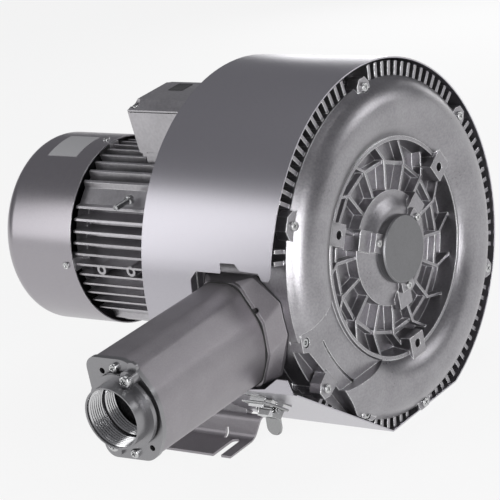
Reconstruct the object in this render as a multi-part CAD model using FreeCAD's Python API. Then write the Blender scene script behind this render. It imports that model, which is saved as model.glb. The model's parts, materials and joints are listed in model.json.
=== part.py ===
import FreeCAD, Part
import math
import os
from FreeCAD import Vector

# Two-stage side channel blower. Millimetres and degrees.
# Everything is drawn about the shaft: it runs along Y, the front of the shroud is y = 0,
# X is to the right seen from the front, Z is up. place() then sets it on its feet.

# Driving sizes: the whole machine
shaft_height = 215.0      # shaft axis above the floor
shroud_r = 215.0          # outside of the sheet shroud
shroud_len = 185.4
shroud_sheet = 1.5
casing_r = 194.0          # rim of the three castings
fin_r = 210.5             # tips of the cooling fins
fin_count = 100
fin_thick = 4.6
front_joint_y = 37.0      # cover to middle casing
rear_joint_y = 125.0      # middle casing to rear casing
casing_end_y = 178.0
gasket = 0.8
screw_end_y = 51.0        # ends of the cover screws
tie_end_y = 16.0

# Side channels and impellers
channel_mid_r = 158.0     # pitch radius of the side channel
channel_r = 25.0          # half width of the channel
channel_depth = 30.0
impeller_width = 32.0
impeller_gap = 0.5        # axial gap each side of an impeller
impeller_tip_gap = 1.0    # gap round an impeller
blade_count = 42
blade_thick = 2.4
impeller_hub_r = 33.0
interrupter_angle = -150.0   # middle of the solid sector between inlet and outlet
interrupter_span = 44.0

# Shaft, bearings, seals
bearing_bore_r = 15.0
bearing_r = 31.0
bearing_width = 16.0
front_bearing_y = -6.0
rear_bearing_y = 376.0
impeller_seat_r = 17.5
seal_seat_r = 20.0
core_seat_r = 23.0
fan_seat_r = 12.0
fit_gap = 0.05            # running and push fits on the shaft
seal_width = 8.0

# Front cover
cover_face_y = -4.0
bulge_peak_y = -20.0
recess_r = 122.0          # outside of the ribbed recess
recess_floor_y = 14.0
hub_ring_r = 66.0
hub_cap_r = 39.0
hub_cap_face_y = -18.6
hub_face_y = -9.0
rib_count = 16
rib_start = 100.0
rib_thick = 3.6
bar_r = 98.0              # cross bars between the ribs
rib_top_y = 2.0
rib_sweep = 10.0          # how far a rib leans over on its way out
pad_r = 117.0             # tapped mounting pads
pad_face_y = -12.0
pad_size = 26.0
pad_hole_r = 5.1
pad_hole_depth = 18.0
pad_angles = (30.0, 150.0, 270.0)
ear_r = 192.5
ear_tip_r = 203.0
ear_half = 11.0
wide_ear = 150.0
wide_ear_half = 16.0
ear_angles = (90.0, 30.0, -30.0, -90.0, -150.0, 150.0)
tie_points = ((-183.0, -34.0), (-103.5, -158.5))
block_angle = -149.3      # the interrupter block's flat edge faces this way
block_r = 180.0

# Outlet side: adapter, silencer, threaded flange
port_y = 66.0
port_z = -16.0
port_bore_r = 26.0
port_face_x = 188.0       # flat on the casing that takes an adapter
adapter_len = 19.0
silencer_len = 191.0
silencer_wall = 4.0
silencer_duct_r = 24.0
silencer_step = 1.0       # how far the tube lies inside its end plate and adapter
# (y, z) corners about the neck's centre
plate_corners = [(43, 56), (-18, 56), (-45, 15), (-44, -24), (-25, -59), (32, -60), (43, -48)]
rim_corners = [(40, 55), (-9, 55), (-34, 10), (-33, -28), (-14, -68), (32, -68), (40, -58)]
foot_corners = [(46, 58), (-22, 58), (-53, 30), (-54, -8), (-29, -62), (30, -66), (45, -56)]
plate_corner_r = 11.0
rim_corner_r = 12.0
foot_corner_r = 7.0
end_plate = 6.0
neck_y = 64.0
neck_z = -13.0
neck_r = 35.0
neck_len = 16.2
flange_thick = 9.0
flange_gap = 3.0          # groove between the flange's rim and the end plate
neck_chamfer = 3.0
thread_core_r = 28.4      # G2 thread, core
boss_len = 16.0           # screw bosses inside the silencer

# Inlet side
inlet_y = 151.0
inlet_bore_r = 21.0
inlet_adapter_len = 38.0

# Motor
housing_bore_r = 84.0
housing_wall = 6.0
housing_fin_r = 110.0
housing_y0 = 190.0
housing_y1 = 372.0
housing_fin_pitch = 13.0
housing_fin_thick = 2.6
stack_y0 = 222.0
stack_y1 = 342.0
stack_bore_r = 50.0
air_gap = 0.5
lifting_points = ((345.0, -5.0), (299.0, -4.0))   # tapped eyes on the left side, (y, z)
coil_len = 20.0
shield_thick = 12.0
shield_r = 97.0
shield_screw_r = 80.0

# Fan and cowl
cowl_r = 115.0
cowl_sheet = 1.5
cowl_y0 = 382.6
cowl_y1 = 497.0
cowl_round = 22.0
cowl_screw_y = 394.0
fan_r = 98.0
fan_y0 = 408.0
fan_len = 42.0
fan_blades = 9

# Terminal box
box_half_x = 42.0
box_y0 = 214.0
box_y1 = 310.0
box_floor_z = 112.0
box_rim_z = 169.0
box_top_z = 181.0
box_wall = 4.0
lid_bevel = 12.0
lid_gasket = 1.0
plug_r = 10.0
plug_ys = (244.0, 280.0)

# Feet
foot_sheet = 3.0
foot_half_x = 146.0
foot_bend_x = 100.0
foot_bend_r = 7.0
web_bend_r = 5.0
web_half_x = 95.0
web_top_z = -186.0
foot_y0 = 187.0
foot_y1 = 322.0
foot_wing_y0 = 162.0
foot_slot_y = (195.0, 295.0)
foot_slot_half = 6.0
foot_slot_end_x = 112.0

# Lower left facet of the shroud and its draw latch
facet_low = (-60.0, -202.0)
facet_high = (-213.5, -83.4)
latch_y = 80.0
latch_half = 10.5
pivot_t = 133.0           # along the facet from its lower corner
pivot_out = 9.0           # away from the facet
bail_back = 12.0          # bail pin behind the lever pivot
bail_len = 38.0
wire_r = 1.5

# Small fasteners
m5 = 2.5
m6 = 3.0
m8 = 4.0
hole_gap = 0.3            # clearance holes
tap_gap = 0.05            # tapped holes

# Values worked out from the sizes above
impeller_r = channel_mid_r + channel_r + 1.0
pocket_r = impeller_r + impeller_tip_gap
front_impeller_y = front_joint_y - impeller_width / 2
rear_impeller_y = rear_joint_y - impeller_width / 2
cover_inner_y = front_impeller_y - impeller_gap
rear_inner_y = rear_impeller_y + impeller_width + impeller_gap
cover_end_y = front_joint_y - gasket
middle_end_y = rear_joint_y - gasket
foot_mid_y = sum(foot_slot_y) / 2
adapter_x = port_face_x + gasket
silencer_x = adapter_x + adapter_len
plate_x = silencer_x + silencer_len
flange_x = plate_x + end_plate
foot_z = -shaft_height
floor_right_x = math.sqrt(shroud_r ** 2 - facet_low[1] ** 2)
facet_len = math.dist(facet_low, facet_high)
facet_dir = ((facet_high[0] - facet_low[0]) / facet_len, (facet_high[1] - facet_low[1]) / facet_len)
facet_out = (-facet_dir[1], facet_dir[0])

axis_y = Vector(0, 1, 0)
origin = Vector(0, 0, 0)


def place(shape):
    shape = shape.copy()
    shape.translate(Vector(0, -foot_mid_y, shaft_height))
    return shape


def box(x0, x1, y0, y1, z0, z1):
    return Part.makeBox(x1 - x0, y1 - y0, z1 - z0, Vector(x0, y0, z0))


def rod(r, y0, y1, x=0.0, z=0.0):
    return Part.makeCylinder(r, y1 - y0, Vector(x, y0, z), axis_y)


def rod_x(r, x0, x1, y, z):
    return Part.makeCylinder(r, x1 - x0, Vector(x0, y, z), Vector(1, 0, 0))


def rod_z(r, z0, z1, x, y):
    return Part.makeCylinder(r, z1 - z0, Vector(x, y, z0), Vector(0, 0, 1))


def ring(r_in, r_out, y0, y1):
    return rod(r_out, y0, y1).cut(rod(r_in, y0 - 1, y1 + 1))


def union(shapes):
    shapes = list(shapes)
    if len(shapes) == 1:
        return shapes[0]
    return shapes[0].fuse(shapes[1:]).removeSplitter()


def group(shapes):
    return Part.makeCompound(list(shapes))


def face_of(points):
    return Part.Face(Part.makePolygon(points + [points[0]]))


def prism_y(points, y0, y1):
    return face_of([Vector(x, y0, z) for x, z in points]).extrude(Vector(0, y1 - y0, 0))


def prism_x(points, x0, x1):
    return face_of([Vector(x0, y, z) for y, z in points]).extrude(Vector(x1 - x0, 0, 0))


def turn(shape, angle):
    # positive angles go from +X towards +Z, as seen from the front
    shape = shape.copy()
    shape.rotate(origin, axis_y, -angle)
    return shape


def around(make, angles):
    return [turn(make, a) for a in angles]


def turned(points, start=0.0, sweep=360.0):
    # points are (radius, y); a triple ("arc", middle, end) bends the outline
    edges = []
    here = points[0]
    for item in points[1:] + [points[0]]:
        if item[0] == "arc":
            mid, end = item[1], item[2]
            edges.append(Part.Arc(Vector(here[0], here[1], 0), Vector(mid[0], mid[1], 0),
                                  Vector(end[0], end[1], 0)).toShape())
        else:
            end = item
            edges.append(Part.LineSegment(Vector(here[0], here[1], 0),
                                          Vector(end[0], end[1], 0)).toShape())
        here = end
    shape = Part.Face(Part.Wire(edges)).revolve(origin, axis_y, -sweep)
    return turn(shape, start)


def polar(r, angle):
    return r * math.cos(math.radians(angle)), r * math.sin(math.radians(angle))


def toothed(y0, y1, skip):
    # the casing's outside with its axial cooling fins; skip lists (angle, half width) gaps
    points = []
    half = math.degrees(fin_thick / 2 / fin_r)
    for i in range(fin_count):
        a = 360.0 * i / fin_count
        points.append(polar(casing_r, a - half * fin_r / casing_r))
        if not any(abs((a - gap + 180) % 360 - 180) < width for gap, width in skip):
            points.append(polar(fin_r, a - half))
            points.append(polar(fin_r, a + half))
        points.append(polar(casing_r, a + half * fin_r / casing_r))
    return prism_y(points, y0, y1)


def inside_shroud(shape):
    # trims castings to stay clear of the shroud's flat floor and facet
    gap = shroud_sheet + 0.8
    floor_z = facet_low[1] + gap
    t_floor = (floor_z - facet_low[1] + gap * facet_out[1]) / facet_dir[1]
    start = facet_point(t_floor, -gap)
    end = facet_point(facet_len, -gap)
    outline = [start, end, (-shroud_r - 20, end[1]), (-shroud_r - 20, shroud_r), (shroud_r, shroud_r),
               (shroud_r, floor_z)]
    return shape.common(prism_y(outline, -50, 300)).Solids


def channel(face_y, side):
    # half round side channel, open towards the impeller, interrupted over one sector
    r0, r1 = channel_mid_r - channel_r, channel_mid_r + channel_r
    profile = [(r0, face_y), ("arc", (channel_mid_r, face_y + side * channel_depth), (r1, face_y)),
               (r1, face_y - side), (r0, face_y - side)]
    return turned(profile, interrupter_angle + interrupter_span / 2, 360.0 - interrupter_span)


def facet_point(t, out):
    return (facet_low[0] + facet_dir[0] * t + facet_out[0] * out,
            facet_low[1] + facet_dir[1] * t + facet_out[1] * out)


def on_facet(points, y0, y1):
    return prism_y([facet_point(t, out) for t, out in points], y0, y1)


def facet_rod(r, t, out, y0, y1):
    x, z = facet_point(t, out)
    return rod(r, y0, y1, x, z)


# Front cover: ribbed recess, interrupted side channel, ears, pads

def cover_rib():
    bend_r = bar_r + 2
    mid = [polar(hub_ring_r - 3, 0), polar(bend_r, 0), polar(recess_r + 3, rib_sweep)]
    side = []
    for sign in (1, -1):
        row = []
        for i, (x, z) in enumerate(mid):
            lean = rib_sweep * 0.5 * i
            row.append((x - sign * rib_thick / 2 * math.sin(math.radians(lean)),
                        z + sign * rib_thick / 2 * math.cos(math.radians(lean))))
        side.append(row)
    return prism_y(side[0] + side[1][::-1], rib_top_y, recess_floor_y + 1)


def cover_bulge():
    inner, outer = recess_r + 4, casing_r - 4
    whole = turned([(outer, cover_face_y + 2), (outer, cover_face_y),
                    ("arc", (channel_mid_r, bulge_peak_y), (inner, cover_face_y - 2)),
                    (inner, cover_face_y + 2)])
    # the interrupter block leaves this sector of the channel flat
    block = [(-16, -110), (-141, -110), (-230, -75), (-230, -42), (-190, -23), (-158, -8),
             (-112, 14), (-60, -10), (-10, -60)]
    return whole.cut(prism_y(block, bulge_peak_y - 5, cover_face_y))


def cover_ear(angle):
    half = wide_ear_half if angle == wide_ear else ear_half
    return prism_y([(176, -half - 2), (195, -half), (ear_tip_r, -half / 2), (ear_tip_r, half / 2),
                    (195, half), (176, half + 2)], -5, 10)


def cross_bars():
    # straight bars from rib to rib
    angles = [rib_start + 360.0 * i / rib_count for i in range(rib_count)]
    outer = prism_y([polar(bar_r + 2, a) for a in angles], rib_top_y + 3, recess_floor_y + 1)
    return outer.cut(prism_y([polar(bar_r - 2, a) for a in angles], rib_top_y, recess_floor_y + 2))


def front_cover():
    body = turned([
        (bearing_r, hub_face_y), (44, hub_face_y), (hub_ring_r - 6, rib_top_y - 2),
        (hub_ring_r, rib_top_y - 2), (hub_ring_r, recess_floor_y), (recess_r - 3, recess_floor_y),
        (recess_r, cover_face_y), (recess_r, cover_face_y - 4), (recess_r + 4, cover_face_y - 4),
        (recess_r + 5, cover_face_y), (casing_r - 4, cover_face_y), (casing_r, 0),
        (casing_r, cover_end_y), (pocket_r, cover_end_y), (pocket_r, cover_inner_y),
        (36, cover_inner_y), (36, 13), (28, 13), (28, front_bearing_y + bearing_width),
        (bearing_r, front_bearing_y + bearing_width)])
    fins = toothed(3.0, cover_end_y, [(a, 6) for a in ear_angles] + [(184, 21)])
    fins = inside_shroud(fins.cut(rod(casing_r - 3, 0, front_joint_y)))
    ears = inside_shroud(group(turn(cover_ear(a), a) for a in ear_angles))
    lugs = [prism_y([(-170, -26), (-190.5, -24), (-191, -43), (-176, -48)], cover_face_y, 14),
            prism_y([(-100, -124), (-116, -160), (-102, -170), (-90, -168), (-86, -150)],
                    cover_face_y, 16)]
    lugs = inside_shroud(group(lugs))
    pad = box(pad_r - 11, pad_r + 15, pad_face_y, recess_floor_y, -pad_size / 2, pad_size / 2)
    step = union([box(36, 50, hub_face_y - 5, recess_floor_y, -11, 11),
                  box(48, hub_ring_r + 5, hub_face_y + 2, recess_floor_y, -12, 12)])
    rib = cover_rib()
    ribs = [turn(rib, rib_start + 360.0 * i / rib_count) for i in range(rib_count)]
    parts = [body, cover_bulge(), cross_bars()] + ribs + ears
    parts += around(pad, pad_angles) + around(step, pad_angles)
    whole = union(parts).fuse(fins)
    edge = turn(box(block_r, block_r + 40, bulge_peak_y, 12, -78, 78), block_angle)
    whole = whole.cut(edge.cut(turn(cover_ear(interrupter_angle), interrupter_angle))).fuse(lugs)
    groove = turned([(160, cover_face_y - 1), (163, cover_face_y - 1), (163, cover_face_y + 2.5),
                     (160, cover_face_y + 2.5)], -164, 32)
    cuts = [rod(hub_cap_r + 0.3, hub_cap_face_y - 2, hub_face_y), groove,
            channel(cover_inner_y, -1),
            rod(bearing_r, hub_face_y - 1, front_bearing_y + bearing_width),
            rod(pocket_r, cover_inner_y, front_joint_y + 1),
            rod(28, front_bearing_y, cover_inner_y), rod(36, 13, cover_inner_y)]
    cuts += around(rod(pad_hole_r, pad_face_y - 1, pad_face_y + pad_hole_depth, pad_r, 0), pad_angles)
    cuts += around(rod(m6 + hole_gap, -6, front_joint_y, ear_r, 0), ear_angles)
    cuts += around(rod(6.5, bulge_peak_y, -5, ear_r, 0), ear_angles)
    cuts += [rod(5.8, cover_face_y - 1, 3, x, z) for x, z in tie_points]
    cuts += [rod(m6 + tap_gap, 0, tie_end_y, x, z) for x, z in tie_points]
    cuts += around(rod(m5 + tap_gap, hub_face_y - 6, 6, 45, 0), pad_angles)
    return whole.cut(cuts)


def hub_cap():
    cap = turned([(0, hub_cap_face_y), (hub_cap_r - 1.5, hub_cap_face_y),
                  (hub_cap_r, hub_cap_face_y + 1.5), (hub_cap_r, hub_face_y), (bearing_r - 0.2, hub_face_y),
                  (bearing_r - 0.2, front_bearing_y - 0.5), (bearing_r - 4, front_bearing_y - 0.5),
                  (bearing_r - 4, hub_face_y - 2), (0, hub_face_y - 2)])
    return cap


def front_gasket():
    sheet = ring(pocket_r + 0.5, casing_r - 0.5, front_joint_y - gasket, front_joint_y)
    return sheet.cut(around(rod(m6 + hole_gap, front_joint_y - 2, front_joint_y + 2, ear_r, 0), ear_angles))


def pan_screw(r, y0, y1, x, z):
    # head stands in front of y0, shank runs back to y1
    head = turned([(0, -r * 1.1), (r * 1.2, -r * 1.1), (r * 1.8, -r * 0.4), (r * 1.8, 0), (0, 0)])
    screw = union([head, rod(r, -0.2, y1 - y0)])
    screw.translate(Vector(x, y0, z))
    return screw


def socket_screw(r, y0, y1, x, z):
    head = rod(r * 1.6, -r * 2, 0).cut(rod(r * 0.8, -r * 2 - 1, -r))
    screw = union([head, rod(r, -0.2, y1 - y0)])
    screw.translate(Vector(x, y0, z))
    return screw


def screws_at(make, r, y0, y1, radius, angles):
    return group(make(r, y0, y1, *polar(radius, a)) for a in angles)


# Impellers

def impeller(y0):
    y1 = y0 + impeller_width
    mid = (y0 + y1) / 2
    core_r = channel_mid_r - channel_r
    body = turned([(impeller_seat_r + fit_gap, y0), (impeller_hub_r, y0), (impeller_hub_r, mid - 5),
                   (core_r - 6, mid - 4), (core_r - 4, y0), (core_r, y0), (core_r + 12, mid - 3),
                   (impeller_r - 1, mid - 2), (impeller_r - 1, mid + 2), (core_r + 12, mid + 3),
                   (core_r, y1), (core_r - 4, y1), (core_r - 6, mid + 4), (impeller_hub_r, mid + 5),
                   (impeller_hub_r, y1), (impeller_seat_r + fit_gap, y1)])
    blade = box(core_r - 1, impeller_r, y0, y1, -blade_thick / 2, blade_thick / 2)
    blades = [turn(blade, 360.0 * i / blade_count) for i in range(blade_count)]
    return union([body] + blades)


# Middle and rear casings

def middle_casing():
    y0, y1 = front_joint_y, middle_end_y
    inner0 = front_impeller_y + impeller_width + impeller_gap
    inner1 = rear_impeller_y - impeller_gap
    body = turned([(casing_r, y0), (casing_r, y1), (pocket_r, y1), (pocket_r, inner1),
                   (27 + impeller_tip_gap, inner1), (27 + impeller_tip_gap, inner0),
                   (pocket_r, inner0), (pocket_r, y0)])
    fins = toothed(y0, y1, [(180, 34)] + [(a, 3) for a in ear_angles])
    fins = inside_shroud(fins.cut(rod(casing_r - 3, y0, y1)))
    bosses = inside_shroud(group(around(rod(6.5, y0, screw_end_y + 2, ear_r, 0), ear_angles)))
    boss = box(-port_face_x, -165, port_y - 25, port_y + 52, port_z - 55, port_z + 55)
    whole = union([body, boss] + fins + bosses)
    seat = box(-shroud_r, -port_face_x, y0, port_y + 49, port_z - 64, port_z + 66)
    whole = whole.cut([rod(pocket_r, y0 - 1, inner0), rod(pocket_r, inner1, y1 + 1), seat])
    cuts = [channel(inner0, 1), channel(inner1, -1),
            rod_x(port_bore_r, -port_face_x - 1, -channel_mid_r, port_y, port_z)]
    cuts += around(rod(m6 + tap_gap, y0 - 1, screw_end_y, ear_r, 0), ear_angles)
    cuts += [rod_x(m6 + tap_gap, -port_face_x - 1, -port_face_x + 11, y, z) for y, z in adapter_points()]
    return whole.cut(cuts)


def rear_casing():
    y0, y1 = rear_joint_y, casing_end_y
    r0, r1 = channel_mid_r - channel_r, channel_mid_r + channel_r
    peak = rear_inner_y + channel_depth + 5
    body = turned([
        (casing_r, y0), (casing_r, y1 - 6), (r1, y1 - 6), (r1 - 6, rear_inner_y + 22),
        (channel_mid_r + 12, peak), (channel_mid_r - 12, peak), (r0 + 6, rear_inner_y + 22),
        (r0 - 6, rear_inner_y + 9), (112, rear_inner_y + 9), (112, y1), (98, y1),
        (98, rear_inner_y + 9), (46, rear_inner_y + 9), (42, y1 - 6), (30, y1 - 6),
        (30, rear_inner_y), (pocket_r, rear_inner_y), (pocket_r, y0)])
    fins = toothed(y0, y1 - 6, [(180, 20), (-147, 24), (-90, 30), (-5, 14)])
    fins = inside_shroud(fins.cut(rod(casing_r - 3, y0, y1)))
    boss = box(165, port_face_x, inlet_y - 25, y1, port_z - 40, port_z + 40)
    y_link = shroud_len + 2
    rail = box(-88, 88, y_link, y1 + 70, web_top_z, web_top_z + 12)
    link = box(-88, 88, y_link, y_link + 8, web_top_z, -116)
    bridge = box(-88, 88, y1 - 20, y_link + 8, -150, -116)
    gussets = [prism_x([(y_link + 7, web_top_z + 6), (y1 + 68, web_top_z + 6),
                        (y_link + 7, -117)], x, x + 8) for x in (-66, 58)]
    whole = union([body, boss, rail, link, bridge] + fins + gussets)
    spoke = box(40, 104, rear_inner_y + 2, y1 - 10, -4, 4)
    whole = union([whole] + around(spoke, [22.5 + 45 * i for i in range(8)]))
    seat = box(port_face_x, shroud_r, inlet_y - 26, y1 + 1, port_z - 42, port_z + 42)
    cuts = [channel(rear_inner_y, 1), seat, rod(pocket_r, y0 - 1, rear_inner_y),
            rod_x(inlet_bore_r, channel_mid_r, port_face_x + 1, inlet_y, port_z),
            rod(30, rear_inner_y - 1, y1), rod(98, y1 - 7, y1 + 1)]
    cuts += [rod_z(m8 + hole_gap, web_top_z - 1, web_top_z + 13, x, y) for x, y in foot_bolt_points()]
    return whole.cut(cuts)


def foot_bolt_points():
    return [(x, y) for x in (-75, 75) for y in (foot_y0 + 14, foot_y0 + 48)]


# Rotor

def shaft():
    y_shoulder = rear_impeller_y + impeller_width
    return union([
        rod(bearing_bore_r - fit_gap, front_bearing_y - 2, front_impeller_y + 0.5),
        rod(impeller_seat_r, front_impeller_y + 0.5, y_shoulder),
        rod(seal_seat_r, y_shoulder, stack_y0 - 24),
        rod(core_seat_r, stack_y0 - 24, stack_y1 + 24),
        rod(bearing_bore_r - fit_gap, stack_y1 + 24, rear_bearing_y + bearing_width + 4),
        rod(fan_seat_r, rear_bearing_y + bearing_width + 4, fan_y0 + fan_len - 6)])


def rotor_core():
    bars = ring(core_seat_r, stack_bore_r - air_gap, stack_y0, stack_y1)
    end_rings = [ring(34, stack_bore_r - 3, stack_y0 - 9, stack_y0 + 1),
                 ring(34, stack_bore_r - 3, stack_y1 - 1, stack_y1 + 9)]
    return union([bars] + end_rings)


def spacer_sleeve():
    return ring(impeller_seat_r + fit_gap, 27, front_impeller_y + impeller_width, rear_impeller_y)


def impeller_nut():
    y1 = front_impeller_y
    hexagon = prism_y([polar(23, 60 * i) for i in range(6)], y1 - 8.5, y1 - 2.5)
    washer = rod(27, y1 - 2.5, y1)
    return union([hexagon, washer]).cut(rod(bearing_bore_r, y1 - 20, y1 + 1))


def cooling_fan():
    y0, y1 = fan_y0, fan_y0 + fan_len
    hub = turned([(fan_seat_r, y0 - 4), (22, y0 - 4), (24, y0 + 6), (fan_r - 8, y0 + 12),
                  (fan_r - 8, y0 + 15), (24, y0 + 10), (22, y1 - 14), (fan_seat_r, y1 - 14)])
    blade = box(20, fan_r, y0 + 8, y1, -1.5, 1.5)
    return union([hub] + [turn(blade, 360.0 * i / fan_blades) for i in range(fan_blades)])


# Bearings and seals

def bearing(y0):
    outer = ring(bearing_r - 5, bearing_r - fit_gap, y0, y0 + bearing_width)
    inner = ring(bearing_bore_r, bearing_bore_r + 5, y0, y0 + bearing_width)
    shields = ring(bearing_bore_r + 4.5, bearing_r - 4.5, y0 + 1, y0 + bearing_width - 1)
    return union([outer, inner, shields])


def seal(y0):
    return turned([(seal_seat_r + fit_gap, y0 + 1), (29.9, y0), (29.9, y0 + seal_width),
                   (26, y0 + seal_width), (seal_seat_r + fit_gap, y0 + 3)])


# Outlet: adapter, silencer, flange

def rounded_wire(points, radius, x):
    # closed outline of (y, z) corners in the plane at x
    bends = []
    for before, here, after in zip(points[-1:] + points[:-1], points, points[1:] + points[:1]):
        corner = Vector(x, *here)
        to_before = (Vector(x, *before) - corner).normalize()
        to_after = (Vector(x, *after) - corner).normalize()
        half = to_before.getAngle(to_after) / 2
        centre = corner + (to_before + to_after).normalize() * (radius / math.sin(half))
        middle = centre + (corner - centre).normalize() * radius
        reach = radius / math.tan(half)
        bends.append((corner + to_before * reach, middle, corner + to_after * reach))
    edges = []
    for bend, following in zip(bends, bends[1:] + bends[:1]):
        edges.append(Part.Arc(*bend).toShape())
        edges.append(Part.LineSegment(bend[2], following[0]).toShape())
    return Part.Wire(edges)


def silencer_wire(x, grow):
    # the section changes evenly from the adapter's rim to the end plate
    share = (x - silencer_x) / silencer_len
    corners = [(neck_y + a[0] + (b[0] - a[0]) * share, neck_z + a[1] + (b[1] - a[1]) * share)
               for a, b in zip(rim_corners, plate_corners)]
    radius = rim_corner_r + (plate_corner_r - rim_corner_r) * share
    wire = rounded_wire(corners, radius, -x)
    return wire.makeOffset2D(grow) if grow else wire


def silencer_loft(x0, x1, grow):
    return Part.makeLoft([silencer_wire(x0, grow), silencer_wire(x1, grow)], True, True)


def rounded(solid, radius):
    edges = [e for e in solid.Edges
             if isinstance(e.Curve, Part.Line) and abs(e.tangentAt(e.FirstParameter).x) > 0.999]
    return solid.makeFillet(radius, edges)


def outlet_adapter():
    spread_x = adapter_x + 6
    rim_x = silencer_x - 4
    rim = Part.Face(silencer_wire(silencer_x, 0)).extrude(Vector(silencer_x - rim_x, 0, 0))
    foot = [(neck_y + y, neck_z + z) for y, z in foot_corners]
    back = Part.Face(rounded_wire(foot, foot_corner_r, -spread_x)).extrude(Vector(spread_x - adapter_x, 0, 0))
    corners = [(neck_y + y, neck_z + z) for y, z in rim_corners]
    flare = Part.makeLoft([rounded_wire(corners, rim_corner_r, -rim_x),
                           rounded_wire(foot, foot_corner_r, -spread_x)], True, True)
    block = union([rim, flare, back]).cut(rod(casing_r + gasket, 0, front_joint_y + gasket))
    cuts = [rod_x(port_bore_r, -silencer_x - 1, -adapter_x + 1, port_y, port_z)]
    cuts += [rod_x(m6 + hole_gap, -silencer_x - 1, -adapter_x + 1, y, z) for y, z in adapter_points()]
    return block.cut(cuts)


def adapter_points():
    return [(port_y + dy, port_z + dz) for dy, dz in ((-27, 26), (29, 26), (-27, -26), (29, -26))]


def outlet_gasket():
    sheet = box(-adapter_x, -port_face_x, front_joint_y + 1, port_y + 46, port_z - 58, port_z + 60)
    cuts = [rod_x(port_bore_r + 1, -adapter_x - 1, -port_face_x + 1, port_y, port_z)]
    cuts += [rod_x(m6 + hole_gap, -adapter_x - 1, -port_face_x + 1, y, z) for y, z in adapter_points()]
    return sheet.cut(cuts)


def silencer_tube():
    tube = silencer_loft(silencer_x, plate_x, -silencer_step)
    hollow = silencer_loft(silencer_x - 1, plate_x + 1, -silencer_step - silencer_wall)
    bosses = [box(-plate_x, -plate_x + boss_len, y - 7, y + 7, *sorted((z - side * 7, z + side * 20)))
              for (y, z), side in zip(plate_screw_points(), (1, -1))]
    bosses = [boss.common(tube) for boss in bosses]
    taps = [rod_x(m6 + tap_gap, -plate_x - 1, -plate_x + boss_len - 2, y, z)
            for y, z in plate_screw_points()]
    return union([tube.cut(hollow)] + bosses).cut(taps)


def silencer_liner():
    inset = -silencer_step - silencer_wall - 0.4
    foam = silencer_loft(silencer_x + 1, plate_x - boss_len - 1, inset)
    return foam.cut(rod_x(silencer_duct_r, -plate_x, -silencer_x, neck_y, neck_z))


def silencer_end_plate():
    plate = Part.Face(silencer_wire(plate_x, 0)).extrude(Vector(-end_plate, 0, 0))
    cuts = [rod_x(thread_core_r, -flange_x - 1, -plate_x + 1, neck_y, neck_z)]
    cuts += [rod_x(m6 + hole_gap, -flange_x - 1, -plate_x + 1, y, z) for y, z in plate_screw_points()]
    cuts += [rod_x(m8 + tap_gap, -flange_x - 1, -plate_x + 1, y, z) for y, z in clamp_points()]
    cuts += [rod_x(3.4, -flange_x - 1, -plate_x + 1, neck_y + dy, neck_z + dz)
             for dy, dz in ((22, 41), (-23, -43))]
    return plate.cut(cuts)


def plate_screw_points():
    return [(neck_y + dy, neck_z + dz) for dy, dz in ((3, 47), (1, -51))]


def clamp_points():
    return [(neck_y - 18.5, neck_z + 38.5), (neck_y + 18.5, neck_z - 38.5)]


def threaded_flange(side, x0, y, z, ear_points):
    # round neck with its pipe thread bore, on a base with two ears; side is -1 left, 1 right
    def along(r, a, b, yy, zz):
        lo, hi = sorted((side * a, side * b))
        return rod_x(r, lo, hi, yy, zz)
    base = along(neck_r + 7, x0 + flange_gap, x0 + flange_thick - 1, y, z)
    ears = []
    for py, pz in ear_points:
        reach = 13 / math.hypot(py - y, pz - z)
        tip = (py + (py - y) * reach, pz + (pz - z) * reach)
        ears += [along(9.5, x0, x0 + flange_thick, py, pz),
                 along(6, x0, x0 + flange_thick - 5, *tip)]
    x1 = x0 + flange_thick + neck_len
    neck = along(neck_r, x0, x1, y, z)
    whole = union([base, neck] + ears)
    mouth = Part.makeCone(thread_core_r, neck_r - 1, neck_chamfer + 0.01, Vector(side * (x1 - neck_chamfer), y, z),
                          Vector(side, 0, 0))
    cuts = [along(thread_core_r, x0 - 1, x1 + 1, y, z), mouth]
    cuts += [along(m8 + hole_gap, x0 - 1, x0 + flange_thick + 1, py, pz) for py, pz in ear_points]
    return whole.cut(cuts)


def side_screw(side, r, x0, length, y, z):
    # socket head screw along X, its head outwards of x0
    lo, hi = sorted((side * x0, side * (x0 + 1.6 * r)))
    head = rod_x(1.7 * r, lo, hi, y, z)
    well = sorted((side * (x0 + 0.8 * r), side * (x0 + 3 * r)))
    shank = sorted((side * (x0 + 0.2), side * (x0 - length)))
    return union([head.cut(rod_x(0.9 * r, well[0], well[1], y, z)), rod_x(r, shank[0], shank[1], y, z)])


# Inlet on the right side

def inlet_flange_x():
    return port_face_x + gasket + inlet_adapter_len


def inlet_ear_points():
    return [(inlet_y, port_z + 46.0), (inlet_y, port_z - 46.0)]


def inlet_adapter():
    x0, x1 = port_face_x + gasket, inlet_flange_x()
    block = box(x0, x1, inlet_y - 24, inlet_y + 24, port_z - 38, port_z + 38)
    ends = [(inlet_y, port_z, neck_r + 7)] + [(y, z, 10.0) for y, z in inlet_ear_points()]
    plate = union([rod_x(r, x1 - 8, x1, y, z) for y, z, r in ends])
    cuts = [rod_x(inlet_bore_r, x0 - 1, x1 + 1, inlet_y, port_z)]
    cuts += [rod_x(m8 + tap_gap, x1 - 9, x1 + 1, y, z) for y, z in inlet_ear_points()]
    return union([rounded(block, 6), plate]).cut(cuts)


def inlet_gasket():
    x0 = port_face_x
    sheet = box(x0, x0 + gasket, inlet_y - 24, inlet_y + 24, port_z - 38, port_z + 38)
    return sheet.cut(rod_x(inlet_bore_r + 1, x0 - 1, x0 + 2, inlet_y, port_z))


# Shroud, feet

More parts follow.
